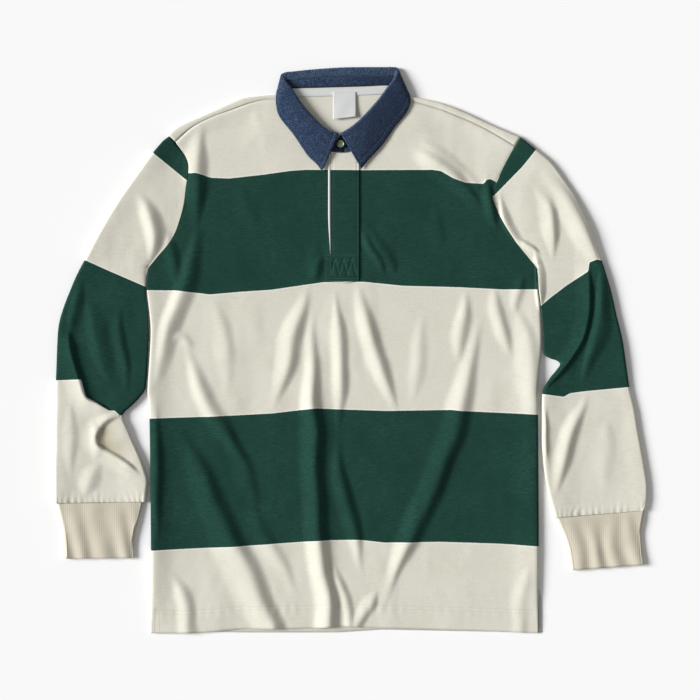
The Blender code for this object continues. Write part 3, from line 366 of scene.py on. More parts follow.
# How the armhole's curve dies out: in sections along the sleeve, and as a share across it
BULGE = {"sections": 8.0, "start": 0.3, "tip": 0.15}
RIB_HEIGHT = 0.06
CUFF_GATHERS = {"reach": 15.0, "height": 0.85, "spacing": 8.2}
CUFF_SHAPE = {"level": 5.0, "flare": 0.7, "flutes": 1.2, "spacing": 4.3, "broad": 0.5}

# Which way the body lies from each side
INWARD = {"right": 1, "left": -1}

# Thread: its size, then how far along each stitch its sections lie and how thick they are
THREAD = {"width": 0.62, "height": 0.42, "segments": 6, "sink": 0.12}
THREAD_SECTIONS = ((0.0, 0.35), (0.18, 0.85), (0.5, 1.0), (0.82, 0.85), (1.0, 0.35))
# The hem's two rows, by their height above its depth
HEM_ROWS = (-2.5, 2.5)
# How far the leaf's rows lie in from its outer edge and from its front edges
LEAF_ROWS = {"rim": 6.5, "front": 5.5}
# The tape's rows: below the neck seam, above the tape's lower edge, and short of its two ends
TAPE_ROWS = {"upper": 3.0, "lower": 2.0, "ends": 2.0}
# Rows sewn at the hem's corner on the wearer's right, as points (x, y)
VENT_ROWS = [[(-271, 1), (-271, 36)], [(-264.5, 1), (-264.5, 33)], [(-271, 36), (-264.5, 33)]]

# Each sheet's cut in metres (width, length), its flat area where it isn't a rectangle, and what it lies on
SHEETS = {
    "front": {"flat": (0.560, 0.745), "area": 0.370, "held": "laid", "on": ["back"],
              "thread": ["hem", "vent"]},
    "back": {"flat": (0.560, 0.765), "area": 0.378, "held": "laid", "on": ["floor"], "pieces": ["vent_tape"]},
    "sleeve_right": {"flat": (0.415, 0.552), "area": 0.108, "held": "laid", "on": ["floor"]},
    "sleeve_left": {"flat": (0.420, 0.560), "area": 0.118, "held": "laid", "on": ["floor"]},
    "cuff_right": {"flat": (0.236, 0.078), "area": 0.0163, "held": "laid", "on": ["floor"]},
    "cuff_left": {"flat": (0.240, 0.082), "area": 0.0160, "held": "laid", "on": ["floor"]},
    "leaf": {"flat": (0.470, 0.064), "area": 0.0239, "held": "folded", "on": ["front", "back"],
             "thread": ["collar"]},
    "stand": {"flat": (0.380, 0.024), "area": 0.0055, "held": "laid", "on": ["back", "front"]},
    "placket": {"flat": (0.039, 0.183), "held": "laid", "on": ["front"], "pieces": ["facing"],
                "thread": ["placket", "box"]},
    "tape": {"flat": (0.130, 0.012), "held": "laid", "on": ["back"], "thread": ["tape"]},
    "label": {"flat": (0.032, 0.038), "held": "laid", "on": ["tape"]},
}


def smooth_path(points, steps=8):
    """A smooth line through every point (Catmull-Rom)."""
    knots = np.asarray(points, dtype=float)
    padded = np.vstack([2 * knots[0] - knots[1], knots, 2 * knots[-1] - knots[-2]])
    path = []
    for before, start, end, after in zip(padded, padded[1:], padded[2:], padded[3:]):
        for t in np.linspace(0, 1, steps, endpoint=False):
            path.append(0.5 * (2 * start + (end - before) * t
                               + (2 * before - 5 * start + 4 * end - after) * t ** 2
                               + (3 * start - before - 3 * end + after) * t ** 3))
    path.append(knots[-1])
    return np.array(path)


def lengths(path):
    """Distance along a path at each point, from 0 to 1."""
    steps = np.linalg.norm(np.diff(path, axis=0), axis=1)
    run = np.concatenate([[0.0], np.cumsum(steps)])
    return run / run[-1]


def resample(points, count):
    """The given number of cells, evenly long, along a smooth line."""
    path = smooth_path(points)
    run = lengths(path)
    wanted = np.linspace(0, 1, count + 1)
    return np.column_stack([np.interp(wanted, run, path[:, axis]) for axis in range(path.shape[1])])


def offset(path, distance):
    """A path moved sideways, to its left when distance is above 0."""
    step = np.gradient(path, axis=0)
    step /= np.linalg.norm(step, axis=1)[:, None]
    return path + distance * np.column_stack([-step[:, 1], step[:, 0]])


def nearest_on(path, points):
    """For each point: distance to a path, place along it (0 to 1) and the signed side of it."""
    best = np.full(len(points), np.inf)
    place = np.zeros(len(points))
    side = np.zeros(len(points))
    run = lengths(path)
    x, y = points[:, 0], points[:, 1]
    for index, (start, end) in enumerate(zip(path, path[1:])):
        along_x, along_y = end - start
        share = ((x - start[0]) * along_x + (y - start[1]) * along_y) / (along_x ** 2 + along_y ** 2)
        share = np.clip(share, 0, 1)
        gap_x = x - start[0] - share * along_x
        gap_y = y - start[1] - share * along_y
        distance = gap_x ** 2 + gap_y ** 2
        nearer = distance < best
        best[nearer] = distance[nearer]
        place[nearer] = run[index] + share[nearer] * (run[index + 1] - run[index])
        side[nearer] = (along_x * gap_y - along_y * gap_x)[nearer]
    return np.sqrt(best), place, side


def near_box(path, points, reach):
    """Which points lie within reach of the box round a path."""
    low = path.min(axis=0) - reach
    high = path.max(axis=0) + reach
    return np.all((points >= low) & (points <= high), axis=1)


def smooth_step(value):
    """0 below 0, 1 above 1 and an even curve between them."""
    value = np.clip(value, 0, 1)
    return value * value * (3 - 2 * value)


def soft_noise(points, size, seed):
    """Smooth random height between -1 and 1, with bumps about the given size in mm."""
    table = np.random.RandomState(seed).uniform(-1, 1, (64, 64))
    scaled = points / size + 500.0
    cell = np.floor(scaled).astype(int)
    inside = smooth_step(scaled - cell)
    x0, y0 = cell[:, 0] % 64, cell[:, 1] % 64
    x1, y1 = (x0 + 1) % 64, (y0 + 1) % 64
    low = table[x0, y0] * (1 - inside[:, 0]) + table[x1, y0] * inside[:, 0]
    high = table[x0, y1] * (1 - inside[:, 0]) + table[x1, y1] * inside[:, 0]
    return low * (1 - inside[:, 1]) + high * inside[:, 1]


def crest_heights(name, count):
    """A named table of crest heights, spread over the points of an edge."""
    table = CREST[name]
    return np.interp(np.linspace(0, 1, count), np.linspace(0, 1, len(table)), table)


def sleeve_edge(side, column):
    """One edge of a sleeve, from the armhole to the cuff."""
    first = SHOULDER_POINT[side] if column == 0 else SIDE[side][-1]
    return [first] + [row[column:column + 2] for row in SLEEVE[side]]


def free_edges():
    """Every free edge as (path, crest height at each point)."""
    edges = []
    for side in ("right", "left"):
        named_lines = (
            ("side", SIDE[side]),
            ("shoulder", SHOULDER_FOLD[side]),
            ("sleeve_outer", sleeve_edge(side, 0)),
            ("sleeve_inner", sleeve_edge(side, 2)),
        )
        for name, line in named_lines:
            path = resample(line, 30)
            edges.append((path, crest_heights(name, len(path))))
    return edges


FREE_EDGES = free_edges()


def neck_raise(points, fade="fade"):
    """How far the layers are lifted by the part of the collar that lies under them."""
    zone = NECK_ZONE
    x, y = points[:, 0], points[:, 1]
    outside = np.maximum.reduce([zone["x0"] - x, x - zone["x1"], zone["y0"] - y])
    return NECK_RAISE * (1 - smooth_step(outside / zone[fade]))


def placket_calm(points):
    """0 over the placket and the collar, where the front lies flat, and 1 where folds may rise."""
    strip, collar = PLACKET_CALM, COLLAR_CALM
    beside = np.abs(points[:, 0] - strip["x"]) - strip["half"]
    below = PLACKET["y0"] - points[:, 1]
    clear_of_placket = smooth_step(np.maximum(beside, below) / strip["fade"])
    from_neck = np.hypot((points[:, 0] - collar["x"]) / collar["squeeze"], points[:, 1] - collar["y"])
    return clear_of_placket * smooth_step((from_neck - collar["radius"]) / collar["fade"])


def front_raise(points):
    """How far the collar under it lifts the front."""
    return FRONT_NECK_RAISE * neck_raise(points, "front_fade")


def uneven(points):
    """Places moved a little at random, so that no fold runs quite straight or evenly wide."""
    drift = [soft_noise(points, *FOLD_DRIFT[axis]) for axis in "xy"]
    return points + FOLD_DRIFT["reach"] * np.column_stack(drift)


def ridge_sum(table, points):
    """Height of a table of ridges: a long lit flank, a steeper shaded one, both narrowing toward the ends."""
    form = FOLD_FORM
    total = np.zeros(len(points))
    places = uneven(points)
    for height, lit, shade, crest in table:
        path = smooth_path(crest, 4)
        near = near_box(path, places, max(lit, shade))
        if not near.any():
            continue
        distance, place, side = nearest_on(path, places[near])
        ends = smooth_step(place / FOLD_TAIL)
        if crest[-1][1] > HEM_ZONE:
            ends = np.minimum(ends, smooth_step((1 - place) / FOLD_TAIL))
        width = form["narrow"] + (1 - form["narrow"]) * ends
        reach = np.where(side > 0, shade * SHADE_TIGHTEN, lit) * width
        share = np.clip(np.sqrt((distance / reach) ** 2 + form["soft"]) - form["crest"], 0, 1)
        tent_part = np.where(side > 0, form["tent_shaded"], form["tent_lit"])
        tent = tent_part * (1 - share) ** form["sharp"]
        rise = height * ends * (tent + (1 - tent_part) * (1 - smooth_step(share)))
        total[near] = np.maximum(total[near], rise) + 0.3 * np.minimum(total[near], rise)
    return total


def lap_height(points):
    """Height of the laps: steep at the lip, sloping back on the high side."""
    total = np.zeros(len(points))
    for height, back, line in LAPS:
        path = smooth_path(line, 4)
        near = near_box(path, points, back + 3)
        if not near.any():
            continue
        distance, place, side = nearest_on(path, points[near])
        signed = np.where(side < 0, distance, -distance)
        lip = smooth_step((signed + LIP_STEP / 2) / LIP_STEP)
        slope = (1 - np.clip((signed - LIP_STEP / 2) / back, 0, 1)) ** 1.6
        ends = np.minimum(smooth_step(place / 0.2), smooth_step((1 - place) / 0.2))
        total[near] = np.maximum(total[near], height * lip * slope * ends)
    return total


def fine_relief(points):
    """Broad soft drapes that run mostly down the body, and the small unevenness of a washed jersey."""
    return sum(height * soft_noise(points * np.array([1.0, stretch]), size, seed)
               for size, stretch, seed, height in RELIEF)


def hem_relief(points):
    """The turned-up hem of the front: a thicker band, a sunk stitch line and its puckers."""
    hem = np.array(FRONT_HEM, dtype=float)
    above = points[:, 1] - np.interp(points[:, 0], hem[:, 0], hem[:, 1])
    form = HEM_RELIEF
    band = form["band"] * (1 - smooth_step((above - HEM_DEPTH + 1.0) / 3.0))
    groove = -form["groove"] * np.exp(-((above - HEM_DEPTH) / form["groove_width"]) ** 2)
    ripple = np.sin(points[:, 0] / 2.1 + 1.4 * soft_noise(points, 21, 5))
    pucker = form["pucker"] * ripple * np.exp(-((above - HEM_DEPTH + 2) / form["pucker_width"]) ** 2)
    return band + groove + pucker * (0.6 + 0.4 * soft_noise(points, 40, 6))


def box_lines():
    """The stitched box at the placket's lower end: its outline and the teeth between its two long rows."""
    (x0, x1), (x2, x3), y0, y1 = BOX["low"], BOX["high"], BOX["y0"], BOX["y1"]
    (beside, beyond), (aside, away) = BOX["second"], BOX["inset"]
    lines = [[(x0, y0), (x1, y0)], [(x2, y1), (x3, y1)], [(x0, y0), (x2, y1)], [(x1, y0), (x3, y1)],
             [(x0 + beside, y0 + beyond), (x1 - beside, y0 + beyond)],
             [(x2 + beside, y1 - beyond), (x3 - beside, y1 - beyond)]]
    count = 2 * BOX["teeth"]
    teeth = []
    for k in range(count + 1):
        across = (k + 0.5) / (count + 1)
        teeth.append((x0 + aside + across * (x1 - x0 - 2 * aside), y0 + away if k % 2 == 0 else y1 - away))
    lines.append(teeth)
    return lines


def box_relief(points):
    """Thread pulls the box down along its rows and leaves it puffed between them."""
    total = np.zeros(len(points))
    near = near_box(np.array([(BOX["low"][0], BOX["y0"]), (BOX["low"][1], BOX["y1"])]), points, 6)
    spots = points[near]
    if len(spots):
        sunk = np.zeros(len(spots))
        for line in box_lines():
            distance, _, _ = nearest_on(np.array(line, dtype=float), spots)
            sunk = np.maximum(sunk, np.exp(-(distance / BOX_RELIEF["width"]) ** 2))
        total[near] = BOX_RELIEF["puff"] - BOX_RELIEF["sink"] * sunk
    return total


def seam_relief(points):
    """Groove and puckers along the armhole and shoulder seams."""
    form = SEAM_RELIEF
    total = np.zeros(len(points))
    for side in ("right", "left"):
        for line in (ARMHOLE[side], SHOULDER_SEAM[side]):
            distance, place, _ = nearest_on(smooth_path(line, 4), points)
            ripple = np.sin(place * 150 + 2 * soft_noise(points, 25, 8))
            wide = form["pucker_width"]
            puckers = form["pucker"] * ripple * np.exp(-((distance - wide) / wide) ** 2)
            total += puckers - form["groove"] * np.exp(-(distance / form["groove_width"]) ** 2)
    return total


def top_height(points, base=FRONT_MID):
    """Middle of the upper layer: flat cloth, rolled edges, lift at the neck, folds and fine relief."""
    height = np.zeros(len(points)) + base
    roll = np.zeros(len(points))
    for path, crest in FREE_EDGES:
        near = near_box(path, points, 3 * ROLL_REACH)
        if not near.any():
            continue
        distance, place, _ = nearest_on(path, points[near])
        top = np.interp(place, lengths(path), crest)
        fade = np.exp(-(np.maximum(distance - ROLL_WIDTH, 0) / ROLL_REACH) ** 2)
        roll[near] = np.maximum(roll[near], np.maximum(top - height[near], 0) * fade)
    calm = placket_calm(points)
    folds = FOLD_GAIN * (ridge_sum(FOLDS, points) + ridge_sum(SMALL_FOLDS, points)) + lap_height(points)
    fine = fine_relief(points) * (0.25 + 0.75 * calm)
    under = front_raise(points)
    lifted = height + roll * calm + under + folds * calm + fine + seam_relief(points)
    return np.maximum(lifted, base - 0.25 + under)


def straight_placket(grid, first, columns):
    """Moves the columns of the front so that the placket runs straight down at its own width."""
    last = first + columns
    for row in grid:
        calm = smooth_step((row[first, 1] - PLACKET["y0"] + PLACKET["fade"]) / PLACKET["fade"])
        x = row[:, 0].copy()
        straight = [x[0], PLACKET["x0"], PLACKET["x1"], x[-1]]
        wanted = np.interp(x, [x[0], x[first], x[last], x[-1]], straight)
        row[:, 0] += calm * (wanted - x)
    return grid


def back_height(points):
    """Middle of the lower layer, lifted only by the collar under it."""
    return BACK_MID + neck_raise(points)


def hoop_distance(name, points):
    """Signed distance in mm to the edge of the green hoops, above 0 inside the green."""
    result = np.full(len(points), -1e3)
    for outline in HOOPS[name]:
        closed = np.array(outline + outline[:1], dtype=float)
        distance, _, _ = nearest_on(closed, points)
        inside = np.zeros(len(points), dtype=bool)
        for (x0, y0), (x1, y1) in zip(closed, closed[1:]):
            if y0 == y1:
                continue
            crosses = (y0 > points[:, 1]) != (y1 > points[:, 1])
            crossing = x0 + (points[:, 1] - y0) * (x1 - x0) / (y1 - y0)
            inside ^= crosses & (points[:, 0] < crossing)
        result = np.maximum(result, np.where(inside, distance, -distance))
    return result


def coons(left, right, bottom, top):
    """A patch between four edges; left and right run up, bottom and top run across."""
    across = ((top[:, 0] - top[0, 0]) / (top[-1, 0] - top[0, 0]))[:, None]
    rows = []
    ups = 0.5 * (lengths(left) + lengths(right))
    for start, end, up in zip(left, right, ups):
        ruled = (1 - across) * start + across * end + (1 - up) * bottom + up * top
        corners = ((1 - across) * (1 - up) * bottom[0] + across * (1 - up) * bottom[-1]
                   + (1 - across) * up * top[0] + across * up * top[-1])
        rows.append(ruled - corners)
    return np.array(rows)


def new_object(name, vertices, faces, material):
    """A mesh object from points in layout millimetres, riding on the shirt's body."""
    points = np.asarray(vertices, dtype=float) * MM
    points[:, 1] -= LAYOUT_CENTRE_Y * MM
    mesh = bpy.data.meshes.new(name)
    mesh.from_pydata([tuple(point) for point in points], [], faces)
    mesh.update()
    piece = bpy.data.objects.new(name, mesh)
    bpy.context.scene.collection.objects.link(piece)
    mesh.materials.append(material)
    mesh.shade_smooth()
    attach(piece, "root")
    return piece


def set_numbers(piece, name, values):
    """Stores one number for each point, for the material to read."""
    attribute = piece.data.attributes.new(name, "FLOAT", "POINT")
    attribute.data.foreach_set("value", np.asarray(values, dtype=np.float32))


def face_outward(mesh):
    """Turns every face of a closed mesh outward."""
    work = bmesh.new()
    work.from_mesh(mesh)
    bmesh.ops.recalc_face_normals(work, faces=work.faces)
    work.to_mesh(mesh)
    work.free()


def grid_faces(rows, columns, closed=False):
    """Quads between the points of a grid, row by row; closed joins the last column to the first."""
    faces = []
    for row in range(rows - 1):
        for column in range(columns if closed else columns - 1):
            beside = (column + 1) % columns
            faces.append((row * columns + column, row * columns + beside,
                          (row + 1) * columns + beside, (row + 1) * columns + column))
    return faces


def thicken(piece, wall=WALL):
    """Cloth: the open surface is the middle of the wall."""
    solid = piece.modifiers.new("wall", "SOLIDIFY")
    solid.thickness = wall * MM
    solid.offset = 0
    return piece


def cloth_grid(name, points, material, wall=WALL):
    """A cloth wall through a grid of points with the shape (rows, columns, 3)."""
    rows, columns, _ = points.shape
    return thicken(new_object(name, points.reshape(-1, 3), grid_faces(rows, columns), material), wall)


def armhole_line(side):
    """The armhole seam of one side in even steps, from the underarm to the shoulder."""
    return resample(ARMHOLE[side], ARM_ROWS)


def front_layout():
    """Grid of the front in x and y, with thin columns inside each edge for the roll."""
    edges = {}
    for side, inward in INWARD.items():
        seam = resample(SIDE[side], SIDE_ROWS)[:-1] + np.array([inward * HALF, 0])
        arm = offset(armhole_line(side), -inward * SEAM / 2)
        edges[side] = np.vstack([seam, arm])
    top = np.vstack([
        resample(SHOULDER_SEAM["right"], SHOULDER_COLUMNS),
        resample(FRONT_NECK["right"], NECK_SIDE_COLUMNS)[1:],
        resample(PLACKET_TOP, PLACKET_COLUMNS)[1:],
        resample(FRONT_NECK["left"], NECK_SIDE_COLUMNS)[::-1][1:],
        resample(SHOULDER_SEAM["left"], SHOULDER_COLUMNS)[::-1][1:],
    ])
    top = offset(top, -SEAM / 2)
    top[0], top[-1] = edges["right"][-1], edges["left"][-1]
    bottom = matching_hem(FRONT_HEM, top)
    bottom[0], bottom[-1] = edges["right"][0], edges["left"][0]
    grid = coons(edges["right"], edges["left"], bottom, top)
    grid = straight_placket(grid, SHOULDER_COLUMNS + NECK_SIDE_COLUMNS, PLACKET_COLUMNS)
    rows = []
    for row in grid:
        start = row[0] + np.outer([0.12, 0.35, 0.7], row[1] - row[0])
        end = row[-1] + np.outer([0.7, 0.35, 0.12], row[-2] - row[-1])
        rows.append(np.vstack([row[:1], start, row[1:-1], end, row[-1:]]))
    return np.array(rows)


def matching_hem(hem, top):
    """Points of a hem below the points of a top edge."""
    share = (top[:, 0] - top[0, 0]) / (top[-1, 0] - top[0, 0])
    x = hem[0][0] + share * (hem[-1][0] - hem[0][0])
    table = np.array(hem, dtype=float)
    return np.column_stack([x, np.interp(x, table[:, 0], table[:, 1])])


def front_points():
    """Grid of the front with its heights and the roll down its side edges."""
    layout = front_layout()
    rows, columns, _ = layout.shape
    flat = layout.reshape(-1, 2)
    height = (top_height(flat) + hem_relief(flat)).reshape(rows, columns)
    strength = np.zeros(rows)
    run = np.linspace(0, 1, SIDE_ROWS)
    strength[:SIDE_ROWS] = smooth_step(run / 0.12) * smooth_step((1 - run) / 0.12)
    for place in range(rows):
        width = layout[place, :, 0]
        depth = np.minimum(width - width[0], width[-1] - width) / ROLL_WIDTH
        round_off = 1 - np.sqrt(1 - (1 - np.clip(depth, 0, 1)) ** 2)
        height[place] -= strength[place] * round_off * (height[place] - RIM_LEVEL)
    height = np.maximum(height, FRONT_MID - 0.3)
    return np.dstack([layout, height])


def make_front(points, material):
    """Front panel with its folds, hem and hoops."""
    piece = cloth_grid("front_panel", points, material)
    set_numbers(piece, "hoop", hoop_distance("front", points.reshape(-1, 3)[:, :2]))
    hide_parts("front")
    return piece


def placket_points(points):
    """Points of the front that the placket covers, from its lower end to the neckline."""
    first = 3 + SHOULDER_COLUMNS + NECK_SIDE_COLUMNS
    strip = points[:, first:first + PLACKET_COLUMNS + 1]
    start = int(np.searchsorted(strip[:, 0, 1], PLACKET["y0"]))
    below, above = strip[start - 1], strip[start]
    share = (PLACKET["y0"] - below[0, 1]) / (above[0, 1] - below[0, 1])
    return np.vstack([[below + share * (above - below)], strip[start:]])


def shoulder_pairs(side):
    """Fold point and seam point of each column over the shoulder, from the sleeve to the neck."""
    fold = resample(SHOULDER_FOLD[side], SHOULDER_COLUMNS)
    seam = resample(SHOULDER_SEAM[side], SHOULDER_COLUMNS)
    fold[-1] -= np.array([2.0 * INWARD[side], 0])
    seam[-1] -= np.array([1.5 * INWARD[side], 0])
    return fold, seam


def wrap_sections(fold, seam):
    """Rows that carry the back over the shoulder: under the fold, round it and on to the front's seam."""
    reach = seam - fold
    length = np.linalg.norm(reach, axis=1)[:, None]
    inward = reach / length
    probe = fold + inward * 3.0
    low = back_height(probe)
    high = top_height(probe)
    radius = ((high - low) / 2)[:, None]
    centre = fold + inward * (HALF + radius)
    sections = []
    for angle in range(-90, 91, 20):
        turn = math.radians(angle)
        flat = centre - inward * radius * math.cos(turn)
        level = (low + high)[:, None] / 2 + radius * math.sin(turn)
        sections.append(np.hstack([flat, level]))
    last = fold + inward * np.maximum(length - SEAM / 2, HALF + radius + 0.6)
    for share in (0.34, 0.67, 1.0):
        between = centre + (last - centre) * share
        sections.append(np.hstack([between, top_height(between)[:, None]]))
    return np.array(sections)


def make_back(material):
    """Back panel: flat underneath, wrapped over both shoulder folds."""
    wraps = {}
    edges = {}
    for side, inward in INWARD.items():
        fold, seam = shoulder_pairs(side)
        away = np.array([inward, 0]) * SEAM / 2
        fold[0] = fold[0] + away
        seam[0] = seam[0] + away
        wraps[side] = wrap_sections(fold, seam)
        edge = resample(SIDE[side], BACK_SIDE_ROWS)[:-1] + np.array([inward * BACK_INSET, 0])
        arm = offset(armhole_line(side), -inward * SEAM / 2)
        arm[0, 0] += inward * HALF
        edges[side] = np.vstack([edge, arm])
    neck = offset(resample(BACK_NECK, BACK_NECK_COLUMNS), -SEAM / 2)[1:-1]
    top = np.vstack([wraps["right"][0][:, :2], neck, wraps["left"][0][::-1, :2]])
    left = np.vstack([edges["right"], top[:1]])
    right = np.vstack([edges["left"], top[-1:]])
    bottom = matching_hem(BACK_HEM, top)
    bottom[0], bottom[-1] = left[0], right[0]
    layout = coons(left, right, bottom, top)
    rows, columns, _ = layout.shape
    points = np.dstack([layout, back_height(layout.reshape(-1, 2)).reshape(rows, columns)])
    vertices = points.reshape(-1, 3).tolist()
    faces = grid_faces(rows, columns)
    for side in ("right", "left"):
        across = SHOULDER_COLUMNS + 1
        first = columns * (rows - 1) + (0 if side == "right" else columns - across)
        below = list(range(first, first + across))
        for section in wraps[side][1:]:
            ordered = section if side == "right" else section[::-1]
            above = list(range(len(vertices), len(vertices) + across))
            vertices.extend(ordered.tolist())
            for k in range(across - 1):
                faces.append((below[k], below[k + 1], above[k + 1], above[k]))
            below = above
    piece = thicken(new_object("back_panel", vertices, faces, material))
    set_numbers(piece, "hoop", hoop_distance("back", np.array(vertices)[:, :2]))
    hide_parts("back")
    return piece


def beside_body(side, point):
    """A point of a sleeve's inner edge, kept just clear of the body's side seam."""
    seam = smooth_path(SIDE[side])
    edge = np.interp(point[1], seam[:, 1], seam[:, 0])
    clear = SLEEVE_CLEARANCE + smooth_step((point[1] - 430) / 60)
    if side == "right":
        return np.array([min(point[0], edge - clear), point[1]], dtype=float)
    return np.array([max(point[0], edge + clear), point[1]], dtype=float)


def armhole_bulge(side, points):
    """How far the armhole seam stands off the straight line from shoulder to underarm, at each height."""
    seam = armhole_line(side)
    line = np.vstack([seam, [SHOULDER_POINT[side]]])
    straight = np.interp(points[:, 1], [line[0, 1], line[-1, 1]], [line[0, 0], line[-1, 0]])
    curve = np.interp(points[:, 1], line[:, 1], line[:, 0])
    return np.where(points[:, 1] > line[0, 1], curve - straight, 0.0)


def sleeve_lines(side):
    """Points across every fine section of a sleeve, each from its outer edge to its inner edge."""
    seam = np.vstack([[SHOULDER_POINT[side]], armhole_line(side)[::-1]])
    run = lengths(seam)
    wanted = np.linspace(0, 1, SLEEVE_COLUMNS + 1)
    seam = np.column_stack([np.interp(wanted, run, seam[:, axis]) for axis in (0, 1)])
    shares = ((seam[:, 1] - seam[0, 1]) / (seam[-1, 1] - seam[0, 1]))[:, None]
    outer_edge = smooth_path(sleeve_edge(side, 0), SLEEVE_STEPS)
    inner_knots = [SIDE[side][-1]] + [beside_body(side, row[2:4]) for row in SLEEVE[side]]
    inner_edge = smooth_path(inner_knots, SLEEVE_STEPS)
    lines = [seam]
    for place in range(1, len(outer_edge)):
        station = place / SLEEVE_STEPS
        line = outer_edge[place] + shares * (inner_edge[place] - outer_edge[place])
        hold = 1 - smooth_step(station / BULGE["start"]) * (1 - smooth_step(shares[:, 0] / BULGE["tip"]))
        line[:, 0] += (1 - smooth_step(station / BULGE["sections"])) * hold * armhole_bulge(side, line)
        lines.append(line)
    return lines


def ring_places(line):
    """Where a section needs the height of its upper layer: across it, and just inside both its edges."""
    probes = []
    for edge, beside in ((line[0], line[1]), (line[-1], line[-2])):
        probes.append(edge + ROLL_WIDTH * (beside - edge) / np.linalg.norm(beside - edge))
    return np.vstack([probes[:1], line[1:-1], probes[1:]])


def flat_ring(line, levels):
    """A closed section through a flattened tube: upper layer, roll, lower layer, roll.

    The levels are the heights at ring_places. Returns points in the middle of the wall and the way out of it.
    """
    along = np.gradient(line, axis=0)
    along /= np.linalg.norm(along, axis=1)[:, None]
    inside = line[1:-1]
    along = along[1:-1]
    ends = []
    for edge, beside, high in ((line[0], line[1], levels[0]), (line[-1], line[-2], levels[-1])):
        inward = (beside - edge) / np.linalg.norm(beside - edge)
        radius = (high - BACK_MID) / 2
        ends.append((edge + inward * (HALF + radius), inward, radius, (high + BACK_MID) / 2))
    for end in ends:
        gap = (inside - end[0]) @ end[1]
        eased = np.where(gap < 2, 2 * np.exp((gap - 2) / 2), gap)
        inside = inside + (eased - gap)[:, None] * end[1]
    upper = levels[1:-1]
    points = []
    runs = []

    def add_roll(end, angles, heading):
        """Adds the points of a roll at these angles; the heading says which way the ring runs there."""
        centre, inward, radius, middle = end
        for angle in angles:
            turn = math.radians(angle)
            flat = centre - inward * radius * math.cos(turn)
            points.append([*flat, middle + radius * math.sin(turn)])
            runs.append(inward * heading)

    add_roll(ends[0], (90,), 1)
    points.extend([*point, level] for point, level in zip(inside, upper))
    runs.extend(along)
    add_roll(ends[1], (90, 60, 30, 0, -30, -60, -90), -1)
    points.extend([*point, BACK_MID] for point in inside[::-1])
    runs.extend(along[::-1])
    add_roll(ends[0], (-90, -60, -30, 0, 30, 60), 1)
    points = np.array(points)
    runs = np.array(runs)
    step = np.roll(points, -1, axis=0) - np.roll(points, 1, axis=0)
    forward = np.sum(step[:, :2] * runs, axis=1)
    normal = np.column_stack([runs * -step[:, 2:], forward])
    normal /= np.linalg.norm(normal, axis=1)[:, None]
    return points, normal


def tube_wall(name, outer_rows, inner_rows, material):
    """A closed wall between an outer and an inner tube with the same points, joined at both open ends."""
    rows, columns = len(outer_rows), len(outer_rows[0])
    vertices = np.vstack(outer_rows + inner_rows)
    faces = grid_faces(rows, columns, closed=True)
    shift = rows * columns
    faces += [tuple(corner + shift for corner in reversed(face)) for face in faces]
    for row in (0, rows - 1):
        for column in range(columns):
            beside = (column + 1) % columns
            faces.append((row * columns + column, row * columns + beside,
                          row * columns + beside + shift, row * columns + column + shift))
    piece = new_object(name, vertices, faces, material)
    face_outward(piece.data)
    return piece


def gathers(points, side):
    """Small pleats where the sleeve is drawn into its cuff."""
    start, end = (np.array(SLEEVE[side][-1][k:k + 2], dtype=float) for k in (0, 2))
    along = (end - start) / np.linalg.norm(end - start)
    up = np.array([-along[1], along[0]])
    up *= np.sign(up[1])
    above = (points - start) @ up
    across = (points - start) @ along
    wave = np.sin(across * 2 * math.pi / CUFF_GATHERS["spacing"] + 2.6 * soft_noise(points, 18, 21))
    share = np.clip(0.6 + 0.7 * soft_noise(points * np.array([1.0, 0.2]), 13, 22), 0, 1)
    fade = np.exp(-(np.maximum(above, 0) / CUFF_GATHERS["reach"]) ** 2 * 2.2)
    dip = -0.9 * np.exp(-(above / 3.0) ** 2)
    return CUFF_GATHERS["height"] * wave * share * fade + dip


def hollow_shade(points):
    """Share of painted shade in the hollow under the elbow's lap: 1 at its lip, fading to 0 away from it."""
    shade = np.zeros(len(points))
    path = smooth_path(LAPS[HOLLOW["lap"]][2], 4)
    near = near_box(path, points, HOLLOW["reach"])
    if near.any():
        distance, place, side = nearest_on(path, points[near])
        ends = np.minimum(place - HOLLOW["start"], HOLLOW["end"] - place) / HOLLOW["tail"]
        shade[near] = (1 - smooth_step(distance / HOLLOW["reach"])) * smooth_step(ends) * (side > 0)
    return shade


def make_sleeve(side, material):
    """One sleeve: a flattened tube from the armhole seam to the cuff."""
    outer_rows = []
    inner_rows = []
    lines = sleeve_lines(side)
    lines[0] = offset(lines[0], -SEAM / 2 * INWARD[side])
    lines[-1] = lines[-1] + np.array([0, SEAM / 2])
    places = np.vstack([ring_places(line) for line in lines])
    stations = np.repeat(np.arange(len(lines)) / SLEEVE_STEPS, len(lines[0]))
    loft = FRONT_MID + (SLEEVE_LOFT - FRONT_MID) * smooth_step(stations / 4.0)
    levels = np.maximum(top_height(places, loft) + gathers(places, side), FRONT_MID)
    for line, level in zip(lines, levels.reshape(len(lines), -1)):
        ring, normal = flat_ring(line, level)
        outer_rows.append(ring + normal * HALF)
        inner_rows.append(ring - normal * HALF)
    name = "sleeve_" + side
    piece = tube_wall(name + "_cloth", outer_rows, inner_rows, material)
    flat = np.vstack(outer_rows + inner_rows)[:, :2]
    set_numbers(piece, "hoop", hoop_distance(name, flat))
    # The stored number inside is the share of painted shade in the hollow under the elbow's lap
    set_numbers(piece, "inside", hollow_shade(flat))
    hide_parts(name)
    return piece


